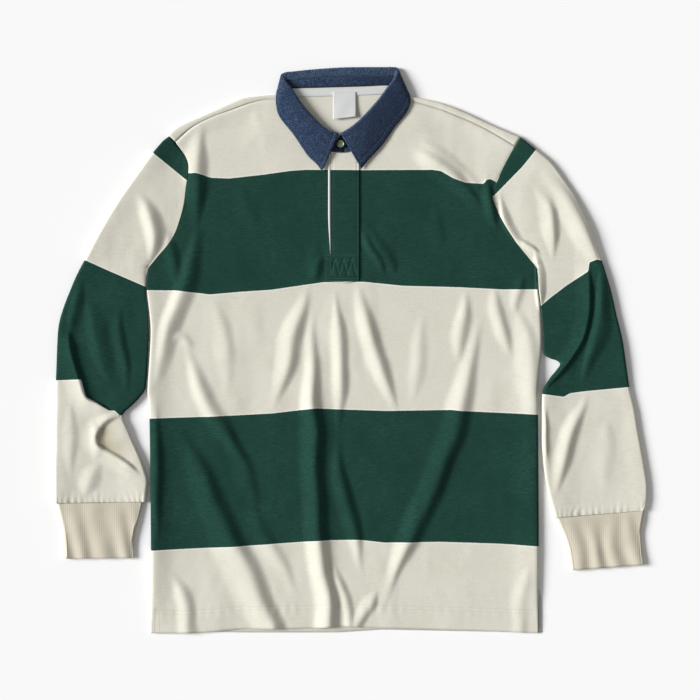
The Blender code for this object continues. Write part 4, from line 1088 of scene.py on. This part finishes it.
def make_cuff(side, material):
    """Ribbed cuff: fine ribs raised in the outer points, soft flutes and a rounded lower edge."""
    knots = smooth_path(CUFF[side], CUFF_ROWS // 4)
    columns = CUFF_RIBS * 4
    outer_rows = []
    inner_rows = []
    for index, row in enumerate(knots):
        run = index / (len(knots) - 1)
        start, end = row[0:2], row[2:4]
        shares = np.linspace(0, 1, columns + 1)
        line = start + shares[:, None] * (end - start)
        if index == 0:
            line[:, 1] -= SEAM / 2
        places = ring_places(line)
        shape = CUFF_SHAPE
        drift = 1.3 * soft_noise(places, 40, 31)
        flute = np.sin((places[:, 0] + places[:, 1] * 0.2) / shape["spacing"] + drift)
        flute *= shape["flutes"] * (0.1 + 0.9 * run)
        broad = shape["broad"] * soft_noise(places, 22, 32)
        draw = -0.3 * math.exp(-(run / 0.06) ** 2)
        level = shape["level"] + shape["flare"] * run + flute + broad + draw
        ring, normal = flat_ring(line, level)
        lift = RIB_HEIGHT * (0.5 + 0.5 * np.cos(np.arange(len(ring)) * math.pi / 2))
        lift[ring[:, 2] < BACK_MID + 0.3] = 0.0
        edge = 0.25 * math.exp(-((1 - run) / 0.05) ** 2)
        outer_rows.append(ring + normal * (HALF + lift - edge)[:, None])
        inner_rows.append(ring - normal * HALF)
    name = "cuff_" + side
    piece = tube_wall(name + "_rib", outer_rows, inner_rows, material)
    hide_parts(name)
    return piece


def collar_neck_ends():
    """Where each collar section ends at the neckline, with its height."""
    right = resample(FRONT_NECK["right"], 5)[::-1]
    left = resample(FRONT_NECK["left"], 5)
    behind = resample(BACK_NECK, 8)[1:-1]
    right_turn = ((-95.4, 737), (-95.0, 740.5), (-89.5, 747))
    left_turn = ((62.5, 751), (67.8, 743), (66.8, 735.8))
    flat = [*right[:-1], *right_turn, *behind, *left_turn, *left[1:]]
    ends = []
    for (x, y), (_, _, turn, _, _) in zip(flat, COLLAR):
        share = (turn + 90) / 180
        point = np.array([[x, y]])
        low = back_height(point)[0]
        high = FRONT_MID + front_raise(point)[0]
        level = low + share * (high - low)
        if share > 0.4:
            level = max(level, low + WALL + 2 * SEAM)
        ends.append([x, y, level])
    return ends


def collar_profiles():
    """For each fine section: fold's centre, down the leaf, out of its face, radius, leaf's edge, neck end."""
    knots = [[*fold, *tip, turn, roll, side, *end]
             for (fold, tip, turn, roll, side), end in zip(COLLAR, collar_neck_ends())]
    profiles = []
    for row in smooth_path(knots, COLLAR_STEPS):
        fold, tip, (turn, roll, side), end = row[0:3], row[3:6], row[6:9], row[9:12]
        down = tip - fold
        down[2] = 0
        down /= np.linalg.norm(down)
        turn = math.radians(np.clip(turn, -90, 90))
        sideways = np.array([down[1], -down[0], 0.0])
        if sideways[0] * side < 0:
            sideways = -sideways
        across = sideways * math.cos(turn) + np.array([0, 0, 1.0]) * math.sin(turn)
        profiles.append((fold + down * roll, down, across, roll, tip, end))
    return profiles


def make_leaf(profiles, material):
    """Denim fall: turned in over the fold, then down to its outer edge, with a thick stitched rim."""
    rows = []
    rims = []
    form = LEAF_FORM
    count = len(profiles)
    for place, (centre, down, across, roll, tip, end) in enumerate(profiles):
        inner_start = centre - across * roll
        inward = (end - inner_start) / np.linalg.norm(end - inner_start)
        outer_start = centre + across * roll
        row = [inner_start + inward * LEAF_TURN_IN * share for share in (1.0, 0.7, 0.35, 0.0)]
        for angle in range(-72, 73, 18):
            turn = math.radians(angle)
            row.append(centre - down * roll * math.cos(turn) + across * roll * math.sin(turn))
        rim = [0.0] * len(row)
        width = np.linalg.norm(tip - outer_start)
        front_edge = min(place, count - 1 - place) * 2.0
        for share in np.linspace(0, 1, LEAF_CELLS):
            point = outer_start + share * (tip - outer_start)
            from_edge = min((1 - share) * width, front_edge)
            crown = form["crown"] * math.sin(share * math.pi) * max(across[2], 0)
            groove = form["groove"] * math.exp(-((from_edge - form["groove_in"]) / form["groove_width"]) ** 2)
            puff = form["puff"] * math.exp(-((from_edge - form["puff_in"]) / form["puff_width"]) ** 2)
            row.append(point + across * (crown - groove + puff * math.sin(place * 0.9)))
            rim.append(from_edge)
        rows.append(row)
        rims.append(rim)
    surface = np.array(rows)
    surface[..., 2] = np.maximum(surface[..., 2], DENIM_WALL / 2 + 0.05)
    piece = cloth_grid("collar_fall", surface, material, DENIM_WALL)
    set_numbers(piece, "rim", np.array(rims).ravel())
    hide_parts("collar_leaf")
    return piece


def make_stand(profiles, material):
    """Denim band between the leaf's turned-in edge and the neckline, on to the centre front."""
    rows = []
    for centre, _, across, roll, _, end in profiles:
        inner_start = centre - across * roll
        reach = end - inner_start
        length = np.linalg.norm(reach)
        inward = reach / length
        crease = math.hypot(across[0], across[1])
        first = inner_start + inward * min(LEAF_TURN_IN + 0.15 + 3.0 * crease, length * 0.6)
        last = inner_start + inward * (length - 2 * SEAM)
        rows.append([first + share * (last - first) for share in STAND_SHARES])
    for place, side in ((0, "right"), (-1, "left")):
        upper, lower = rows[place][0], rows[place][-1]
        meeting = np.array([STAND_MEET[side], STAND_MEET["neckline"], lower[2]])
        for share in (0.5, 1.0):
            x = upper[0] + share * (meeting[0] - upper[0])
            top = np.array([x, upper[1] + STAND_END_RISE, upper[2] - 0.5])
            bottom = lower + share * (meeting - lower)
            added = [top + part * (bottom - top) for part in STAND_SHARES]
            rows.insert(0 if place == 0 else len(rows), added)
    piece = cloth_grid("collar_band", np.array(rows), material, DENIM_WALL)
    set_numbers(piece, "rim", np.full(len(rows) * len(STAND_SHARES), 20.0))
    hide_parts("collar_stand")
    return piece


def refine(grid, times):
    """The same surface with more points between its rows and columns."""
    for axis in (0, 1):
        count = grid.shape[axis]
        wanted = np.linspace(0, count - 1, (count - 1) * times + 1)
        low = np.minimum(wanted.astype(int), count - 2)
        share = (wanted - low).reshape((-1, 1, 1) if axis == 0 else (1, -1, 1))
        before = np.take(grid, low, axis=axis)
        after = np.take(grid, low + 1, axis=axis)
        grid = before + share * (after - before)
    return grid


def make_placket(points, material):
    """Outer strip of the placket with its pressed edges and the stitched box."""
    grid = refine(placket_points(points), 4)
    rows, columns, _ = grid.shape
    flat = grid.reshape(-1, 3)[:, :2]
    grid[..., 2] += WALL + SEAM + box_relief(flat).reshape(rows, columns)
    across = np.linspace(0, 1, columns)
    edge = np.minimum(across, 1 - across) * (PLACKET["x1"] - PLACKET["x0"])
    press = PLACKET_PRESS
    grid[..., 2] -= press["depth"] * np.exp(-((edge - press["in"]) / press["width"]) ** 2)[None, :]
    piece = cloth_grid("placket_strip", grid, material)
    set_numbers(piece, "hoop", hoop_distance("front", grid.reshape(-1, 3)[:, :2]))
    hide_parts("placket_fly")
    return piece


def make_facing(points, material):
    """White facing that shows along the edge of the placket."""
    edge = placket_points(points)[:, 0].copy()
    edge = edge[edge[:, 1] > FACING_START]
    edge[:, 2] += HALF + SEAM + TAPE_WALL / 2
    shares = np.linspace(0, 1, 3)
    reach = FACING_WIDTH * smooth_step(np.linspace(0.15, 2.2, len(edge)))
    rows = [[point - np.array([SEAM + share * width, 0, 0]) for share in shares[::-1]]
            for point, width in zip(edge, reach)]
    piece = cloth_grid("placket_under_edge", np.array(rows), material, TAPE_WALL)
    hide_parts("placket_facing")
    return piece


def make_neck_tape(material):
    """White tape on the back panel below the collar's seam."""
    line = resample(BACK_NECK, 120)
    line = line[(line[:, 0] > NECK_TAPE["x0"]) & (line[:, 0] < NECK_TAPE["x1"])]
    rows = []
    for share in np.linspace(0, 1, 7):
        drop = NECK_TAPE["below_seam"] + share * (NECK_TAPE["width"] - NECK_TAPE["below_seam"])
        level = NECK_TAPE["level"] - 0.3 * math.exp(-((share - 0.85) / 0.08) ** 2)
        rows.append([(x, y - drop, level) for x, y in line])
    piece = cloth_grid("neck_tape_strip", np.array(rows), material, TAPE_WALL)
    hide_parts("neck_tape")
    return piece


def make_label(material):
    """Woven label over the tape, with its lower edge lifted."""
    size = LABEL
    rows = []
    for share in np.linspace(0, 1, 25):
        y = size["y"] + size["length"] * (0.5 - share)
        row = []
        for across in np.linspace(-0.5, 0.5, 21):
            bow = 0.5 * share * math.cos(across * math.pi)
            lean = (across + 0.5) * size["slant"] * share ** 2
            wave = 0.25 * math.sin(across * 7 + share * 5) * share
            z = size["level"] + size["tilt"] * share ** 2 + bow + wave
            row.append((size["x"] + size["width"] * across, y + lean, z))
        rows.append(row)
    piece = cloth_grid("woven_label", np.array(rows), material, size["wall"])
    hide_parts("label")
    return piece


def make_button(material):
    """Button with a raised rim and a hollow face."""
    size = BUTTON
    segments = BUTTON_SEGMENTS
    vertices = []
    faces = []
    ring_starts = []
    for radius, level in BUTTON_PROFILE:
        ring_starts.append(len(vertices))
        z = size["level"] + (level - 0.5) * size["thick"]
        for k in range(segments if radius else 1):
            angle = 2 * math.pi * k / segments
            vertices.append((size["x"] + size["radius"] * radius * math.cos(angle),
                             size["y"] + size["radius"] * radius * math.sin(angle), z))
    for index in range(len(BUTTON_PROFILE) - 1):
        a, b = ring_starts[index], ring_starts[index + 1]
        for k in range(segments):
            n = (k + 1) % segments
            if index == 0:
                faces.append((a, b + k, b + n))
            elif index == len(BUTTON_PROFILE) - 2:
                faces.append((a + k, b, a + n))
            else:
                faces.append((a + k, b + k, b + n, a + n))
    piece = new_object("collar_button", vertices, faces, material)
    face_outward(piece.data)
    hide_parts("neck_button")
    return piece


def make_vent_tape(material):
    """White tape that shows beside the vent at the hem."""
    size = VENT_TAPE
    rows = []
    for y in np.linspace(size["y0"], size["y1"], 24):
        taper = smooth_step((size["y1"] - y) / size["taper"])
        width = (size["x1"] - size["x0"]) * (0.35 + 0.65 * taper)
        rows.append([(size["x0"] + width * share, y, BACK_MID) for share in (0, 0.5, 1.0)])
    piece = cloth_grid("vent_tape_edge", np.array(rows), material, TAPE_WALL)
    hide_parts("vent_tape")
    return piece


def drop_onto(pieces):
    """A function that gives the height of the topmost cloth at a place."""
    graph = bpy.context.evaluated_depsgraph_get()
    trees = [BVHTree.FromObject(piece, graph) for piece in pieces]

    def height(x, y):
        """Height of the topmost cloth at a place, or None beside it."""
        start = Vector((x * MM, (y - LAYOUT_CENTRE_Y) * MM, 0.1))
        hits = [tree.ray_cast(start, Vector((0, 0, -1)))[0] for tree in trees]
        levels = [hit.z / MM for hit in hits if hit is not None]
        return max(levels) if levels else None

    return height


def stitches(name, lines, height, material, length, gap):
    """Rows of thread along lines in x and y, laid on the cloth under them."""
    vertices = []
    faces = []
    segments = THREAD["segments"]
    for line in lines:
        path = np.asarray(line, dtype=float)
        steps = np.linalg.norm(np.diff(path, axis=0), axis=1)
        run = np.concatenate([[0.0], np.cumsum(steps)])
        place = 0.0
        while place + length <= run[-1]:
            ends = [np.array([np.interp(at, run, path[:, 0]), np.interp(at, run, path[:, 1])])
                    for at in (place, place + length)]
            place += length + gap
            levels = [height(*end) for end in ends]
            if None in levels:
                continue
            ahead = (ends[1] - ends[0]) / np.linalg.norm(ends[1] - ends[0])
            beside = np.array([-ahead[1], ahead[0]])
            first = len(vertices)
            for share, size in THREAD_SECTIONS:
                centre = ends[0] + share * (ends[1] - ends[0])
                level = levels[0] + share * (levels[1] - levels[0]) - THREAD["sink"]
                for k in range(segments):
                    angle = 2 * math.pi * k / segments
                    side = beside * THREAD["width"] / 2 * size * math.cos(angle)
                    vertices.append([*(centre + side), level + THREAD["height"] * size * math.sin(angle)])
            last = first + (len(THREAD_SECTIONS) - 1) * segments
            for a in range(first, last, segments):
                for k in range(segments):
                    n = (k + 1) % segments
                    faces.append((a + k, a + n, a + segments + n, a + segments + k))
            faces.append(tuple(first + k for k in reversed(range(segments))))
            faces.append(tuple(last + k for k in range(segments)))
    piece = new_object(name, vertices, faces, material)
    face_outward(piece.data)
    return piece


class Surface:
    """A material in the making: each call adds nodes and returns the output of the last."""

    def __init__(self, name):
        self.material = bpy.data.materials.new(name)
        self.material.use_nodes = True
        self.nodes = self.material.node_tree.nodes
        self.links = self.material.node_tree.links

    def feed(self, socket, value):
        """Feeds a socket with a number, a colour, a vector or the output of another node."""
        if isinstance(value, (int, float)):
            socket.default_value = value
        elif isinstance(value, tuple):
            socket.default_value = (*value, 1.0) if len(socket.default_value) == 4 else value
        elif value is not None:
            self.links.new(value, socket)

    def node(self, kind, output, inputs, **settings):
        """Adds a shader node with its inputs fed, and returns one of its outputs."""
        node = self.nodes.new("ShaderNode" + kind)
        for name, value in settings.items():
            setattr(node, name, value)
        for name, value in inputs.items():
            self.feed(node.inputs[name], value)
        return node.outputs[output]

    def math(self, operation, first, second):
        """One step of arithmetic on two values."""
        return self.node("Math", 0, {0: first, 1: second}, operation=operation)

    def sum(self, *parts):
        """Adds up (output, weight) pairs; a weight of 1 needs no node."""
        total = None
        for value, weight in parts:
            part = value if weight == 1 else self.math("MULTIPLY", value, weight)
            total = part if total is None else self.math("ADD", total, part)
        return total

    def mix(self, share, first, second):
        """A colour between two others."""
        return self.node("Mix", 2, {0: share, 6: first, 7: second}, data_type="RGBA")

    def stretch(self, value, low, high):
        """Maps low..high to 0..1, clamped."""
        return self.node("MapRange", "Result", {"Value": value, "From Min": low, "From Max": high})

    def stored(self, name):
        """A number stored on the cloth's points."""
        return self.node("Attribute", "Fac", {}, attribute_name=name)

    def place(self, scale=(1.0, 1.0, 1.0), turn=0.0):
        """Object coordinates, turned about z and scaled."""
        source = self.node("TexCoord", "Object", {})
        inputs = {"Vector": source, "Rotation": (0.0, 0.0, turn), "Scale": scale}
        return self.node("Mapping", "Vector", inputs)

    def noise(self, vector, scale, detail=4.0, rough=0.6):
        """Cloudy noise between 0 and 1."""
        inputs = {"Vector": vector, "Scale": scale, "Detail": detail, "Roughness": rough}
        return self.node("TexNoise", "Fac", inputs)

    def wave(self, vector, spacing, direction="X", distort=0.0):
        """Bands at a spacing in mm; the texture's own bands repeat every 2 pi / (20 * scale) metres."""
        inputs = {"Vector": vector, "Scale": 2 * math.pi / (20 * spacing * MM), "Distortion": distort,
                  "Detail": 2.0, "Detail Scale": 2.0}
        return self.node("TexWave", "Fac", inputs, bands_direction=direction)

    def bump(self, height, distance, strength, before=None):
        """Fine relief from a height, on top of the relief before it."""
        inputs = {"Height": height, "Distance": distance, "Strength": strength, "Normal": before}
        return self.node("Bump", "Normal", inputs)

    def finish(self, colour, normal, values):
        """Wires colour and normal to the shader, sets its plain values and returns the material."""
        shader = self.nodes["Principled BSDF"]
        for name, value in {"Base Color": colour, "Normal": normal, **values}.items():
            self.feed(shader.inputs[name], value)
        return self.material


def jersey_material():
    """Heavy knit in cream and green: the hoops' edges come from the distance stored on the cloth."""
    cloth = Surface("hooped_jersey")
    spot = cloth.place()
    ragged = cloth.math("SUBTRACT", cloth.noise(spot, 900.0, 1.0), 0.5)
    edge = cloth.sum((cloth.stored("hoop"), 1), (ragged, 0.9))
    cloudy = cloth.noise(spot, 16.0, 4.0, 0.65)
    grain = cloth.noise(spot, 620.0, 2.0, 0.7)
    streak = cloth.noise(cloth.place((90.0, 620.0, 300.0)), 1.0, 2.0, 0.7)
    speckle = cloth.stretch(cloth.sum((grain, 1), (streak, 1)), 0.78, 1.24)
    cream = cloth.mix(speckle, CREAM_DARK, CREAM)
    cream = cloth.mix(cloth.stretch(cloudy, 0.35, 0.75), cream, CREAM)
    beside_hoop = cloth.math("MULTIPLY", cloth.stretch(edge, -2.2, -0.5), 0.7)
    cream = cloth.mix(beside_hoop, cream, CREAM_EDGE)
    # Painted shade in the hollow under the elbow's lap, read from the stored number inside
    cream = cloth.mix(cloth.stored("inside"), cream, CREAM_HOLLOW_SHADE)
    green = cloth.mix(speckle, GREEN, GREEN_LIGHT)
    green = cloth.mix(cloth.stretch(cloudy, 0.3, 0.8), green, GREEN)
    colour = cloth.mix(cloth.stretch(edge, -0.35, 0.35), cream, green)
    wales = cloth.wave(spot, 1.15, "X", 2.5)
    courses = cloth.wave(spot, 0.95, "Y", 2.5)
    normal = cloth.bump(cloth.sum((wales, 1), (courses, 1)), 0.00016, 0.3)
    normal = cloth.bump(grain, 0.00035, 0.6, normal)
    return cloth.finish(colour, normal, {
        "Roughness": 0.9, "Sheen Weight": 0.03, "Sheen Roughness": 0.5, "Specular IOR Level": 0.12})


def rib_material():
    """Beige rib knit, with painted shade in stripes between the ribs."""
    cloth = Surface("cuff_rib_knit")
    spot = cloth.place()
    stripe = cloth.wave(spot, 2.6, "X", 0.4)
    grain = cloth.noise(spot, 1100.0, 2.0, 0.7)
    cloudy = cloth.noise(spot, 40.0, 3.0)
    # The stripe paints shade where the rib bump sinks, between the ribs
    shade = cloth.sum((stripe, 0.10), (grain, 0.6), (cloudy, 0.3))
    colour = cloth.mix(cloth.stretch(shade, 0.3, 0.75), CUFF_DARK, CUFF_LIGHT)
    courses = cloth.wave(spot, 1.1, "Y", 1.2)
    normal = cloth.bump(stripe, 0.0002, 0.35)
    normal = cloth.bump(courses, 0.0002, 0.5, normal)
    normal = cloth.bump(grain, 0.0002, 0.5, normal)
    return cloth.finish(colour, normal, {"Roughness": 0.92, "Sheen Weight": 0.1, "Specular IOR Level": 0.2})


def denim_material():
    """Washed indigo twill: slanted ribs, pale flecks of the weft, a worn rim and painted shade on the left
    leaf, which tilts away from the light.
    """
    cloth = Surface("washed_denim")
    spot = cloth.place()
    twill = cloth.wave(cloth.place(turn=math.radians(-28)), 1.5, "X", 3.0)
    fleck = cloth.noise(cloth.place((760.0, 560.0, 400.0)), 1.0, 1.0, 0.6)
    slub = cloth.noise(cloth.place((1200.0, 300.0, 400.0)), 1.0, 1.0, 0.6)
    cloudy = cloth.noise(spot, 60.0, 3.0, 0.6)
    shade = cloth.sum((fleck, 1), (slub, 0.5), (cloudy, 0.25), (twill, 0.08))
    colour = cloth.mix(cloth.stretch(shade, 0.70, 0.94), DENIM_DARK, DENIM_MID)
    colour = cloth.mix(cloth.stretch(shade, 0.94, 1.22), colour, DENIM_LIGHT)
    # Painted shade: the leaf at +x, the wearer's left, is darkened toward DENIM_DARK as it tilts away from
    # the light
    across = cloth.node("SeparateXYZ", "X", {"Vector": spot})
    darker = cloth.math("MULTIPLY", cloth.stretch(across, -0.02, 0.03), 0.55)
    colour = cloth.mix(darker, colour, DENIM_DARK)
    rim = cloth.stretch(cloth.stored("rim"), 1.3, 0.1)
    worn = cloth.math("MULTIPLY", rim, cloth.stretch(slub, 0.4, 0.7))
    colour = cloth.mix(worn, colour, DENIM_LIGHT)
    normal = cloth.bump(twill, 0.00025, 0.6)
    normal = cloth.bump(slub, 0.0002, 0.5, normal)
    return cloth.finish(colour, normal, {"Roughness": 0.85, "Sheen Weight": 0.15, "Specular IOR Level": 0.25})


def tape_material():
    """Fine white twill tape."""
    cloth = Surface("white_twill_tape")
    weave = cloth.wave(cloth.place(turn=math.radians(35)), 0.9, "X", 0.3)
    grain = cloth.noise(cloth.place(), 1300.0, 2.0)
    shade = cloth.stretch(cloth.sum((weave, 1), (grain, 1)), 0.4, 1.4)
    colour = cloth.mix(shade, TAPE_SHADE, TAPE_WHITE)
    normal = cloth.bump(weave, 0.00015, 0.5)
    normal = cloth.bump(grain, 0.0001, 0.4, normal)
    return cloth.finish(colour, normal, {"Roughness": 0.8, "Specular IOR Level": 0.25})


def thread_material(name):
    """Sewing thread with a fine twist."""
    thread = Surface(name + "_thread")
    colour = THREADS[name]
    twist = thread.noise(thread.place(), 2500.0, 1.0)
    darker = tuple(value * 0.78 for value in colour)
    normal = thread.bump(twist, 0.0001, 0.4)
    return thread.finish(thread.mix(twist, darker, colour), normal, {"Roughness": 0.6})


def button_material():
    """Olive-green moulded plastic with a faint cloud, darkened with painted shade for the shadow it sits in.
    """
    plastic = Surface("shaded_olive_button")
    cloudy = plastic.noise(plastic.place(), 260.0, 3.0)
    colour = plastic.mix(cloudy, BUTTON_DARK, BUTTON_LIGHT)
    return plastic.finish(colour, plastic.bump(cloudy, 0.0001, 0.2), {
        "Roughness": 0.3, "Subsurface Weight": 0.1, "Subsurface Radius": (0.002, 0.002, 0.001)})


def make_floor():
    """Plain pale floor."""
    mesh = bpy.data.meshes.new("floor")
    reach = FLOOR_REACH
    mesh.from_pydata([(-reach, -reach, 0), (reach, -reach, 0), (reach, reach, 0), (-reach, reach, 0)],
                     [], [(0, 1, 2, 3)])
    floor = bpy.data.objects.new("floor", mesh)
    floor.location.z = FLOOR_LEVEL
    bpy.context.scene.collection.objects.link(floor)
    mesh.materials.append(Surface("floor_paper").finish(FLOOR_WHITE, None, {"Roughness": 0.9}))
    return floor


def make_studio():
    """Soft light from the left, and a pale surround that fills the shade."""
    key = bpy.data.lights.new("key", "SUN")
    key.energy = KEY["strength"]
    key.angle = math.radians(KEY["spread"])
    holder = bpy.data.objects.new("key", key)
    holder.rotation_euler = Vector(KEY["heading"]).to_track_quat("-Z", "Y").to_euler()
    holder.location = KEY["place"]
    bpy.context.scene.collection.objects.link(holder)
    bpy.context.scene.view_settings.view_transform = "Standard"
    world = bpy.data.worlds.new("studio")
    world.use_nodes = True
    world.node_tree.nodes["Background"].inputs["Color"].default_value = (1, 1, 1, 1)
    world.node_tree.nodes["Background"].inputs["Strength"].default_value = FILL
    bpy.context.scene.world = world


def make_camera():
    """Camera straight above the shirt, as in the photograph."""
    lens = bpy.data.cameras.new("camera")
    lens.sensor_width = SENSOR_MM
    lens.lens = SENSOR_MM * CAMERA_HEIGHT / (PICTURE_MM * MM)
    holder = bpy.data.objects.new("camera", lens)
    holder.location = (*AIM, CAMERA_HEIGHT)
    bpy.context.scene.collection.objects.link(holder)
    bpy.context.scene.camera = holder


def hem_line(depth, x0=-270, x1=252):
    """A line along the front's hem, at a height above it."""
    hem = np.array(FRONT_HEM, dtype=float)
    x = np.linspace(x0, x1, 160)
    return np.column_stack([x, np.interp(x, hem[:, 0], hem[:, 1]) + depth])


def collar_rim_lines(profiles, inset):
    """Lines along the leaf's outer edge on the front of the shirt, set in from it."""
    lines = []
    for wanted in (-1, 1):
        line = []
        for centre, down, across, _, tip, _ in profiles:
            if across[2] > 0.9 and (centre[0] + 14) * wanted > 0:
                point = tip - down * inset
                line.append(point[:2])
        lines.append(np.array(line)[2:-1])
    return lines


def collar_front_lines(profiles, inset):
    """Lines down the leaf's two front edges, set in from them."""
    lines = []
    for place in (0, -1):
        centre, down, _, _, tip, _ = profiles[place]
        beside = profiles[3 if place == 0 else -4]
        shift = (beside[4] - tip)[:2]
        shift /= np.linalg.norm(shift)
        start = centre[:2] + shift * inset
        stop = tip[:2] + shift * inset - down[:2] * inset
        lines.append(np.linspace(start, stop, 20))
    return lines


def make_stitching(pieces, points, profiles):
    """Every visible row of stitching, as one piece for each kind of row."""
    on_body = drop_onto([pieces["front"], pieces["back"], pieces["placket"]])
    on_leaf = drop_onto([pieces["leaf"]])
    on_tape = drop_onto([pieces["tape"]])
    hem = [hem_line(HEM_DEPTH + shift) for shift in HEM_ROWS]
    strip = placket_points(points)
    strip = strip[(strip[:, 0, 1] > BOX["y1"]) & (strip[:, 0, 1] < STITCHED_BELOW)]
    edges = [strip[:, 1, :2], strip[:, -2, :2]]
    rim = collar_rim_lines(profiles, LEAF_ROWS["rim"]) + collar_front_lines(profiles, LEAF_ROWS["front"])
    line = resample(BACK_NECK, 60)
    line = line[line[:, 0] > NECK_TAPE["x0"] + TAPE_ROWS["ends"]]
    line = line[line[:, 0] < NECK_TAPE["x1"] - TAPE_ROWS["ends"]]
    drops = (NECK_TAPE["width"] - TAPE_ROWS["lower"], TAPE_ROWS["upper"])
    tape = [line - np.array([0, drop]) for drop in drops]
    kinds = [
        ("hem", hem, on_body, "cream", 2.4, 1.2),
        ("placket", edges, on_body, "green", 2.4, 1.2),
        ("box", box_lines(), on_body, "box", 1.9, 0.9),
        ("collar", rim, on_leaf, "blue", 2.3, 0.9),
        ("vent", VENT_ROWS, on_body, "cream", 2.2, 1.0),
        ("tape", tape, on_tape, "white", 2.2, 0.9),
    ]
    threads = {name: thread_material(name) for name in THREADS}
    return {name: stitches(name + "_stitching", lines, height, threads[thread], length, gap)
            for name, lines, height, thread, length, gap in kinds}


def declare_sheets(pieces, thread):
    """Gathers the pieces and the thread sewn to each sheet, and does nothing more with them."""
    for name, sheet in SHEETS.items():
        sewn_on = [pieces[other] for other in sheet.get("pieces", [])]
        sewn_on += [thread[other] for other in sheet.get("thread", [])]


def main():
    """Sets the stage and makes every piece."""
    make_camera()
    floor = make_floor()
    make_studio()
    jersey = jersey_material()
    denim = denim_material()
    tape = tape_material()
    ribs = rib_material()
    points = front_points()
    profiles = collar_profiles()
    pieces = {
        "front": make_front(points, jersey),
        "back": make_back(jersey),
        "sleeve_right": make_sleeve("right", jersey),
        "sleeve_left": make_sleeve("left", jersey),
        "cuff_right": make_cuff("right", ribs),
        "cuff_left": make_cuff("left", ribs),
        "leaf": make_leaf(profiles, denim),
        "stand": make_stand(profiles, denim),
        "placket": make_placket(points, jersey),
        "facing": make_facing(points, tape),
        "tape": make_neck_tape(tape),
        "label": make_label(tape),
        "button": make_button(button_material()),
        "vent_tape": make_vent_tape(tape),
    }
    thread = make_stitching(pieces, points, profiles)
    declare_sheets({**pieces, "floor": floor}, thread)


main()
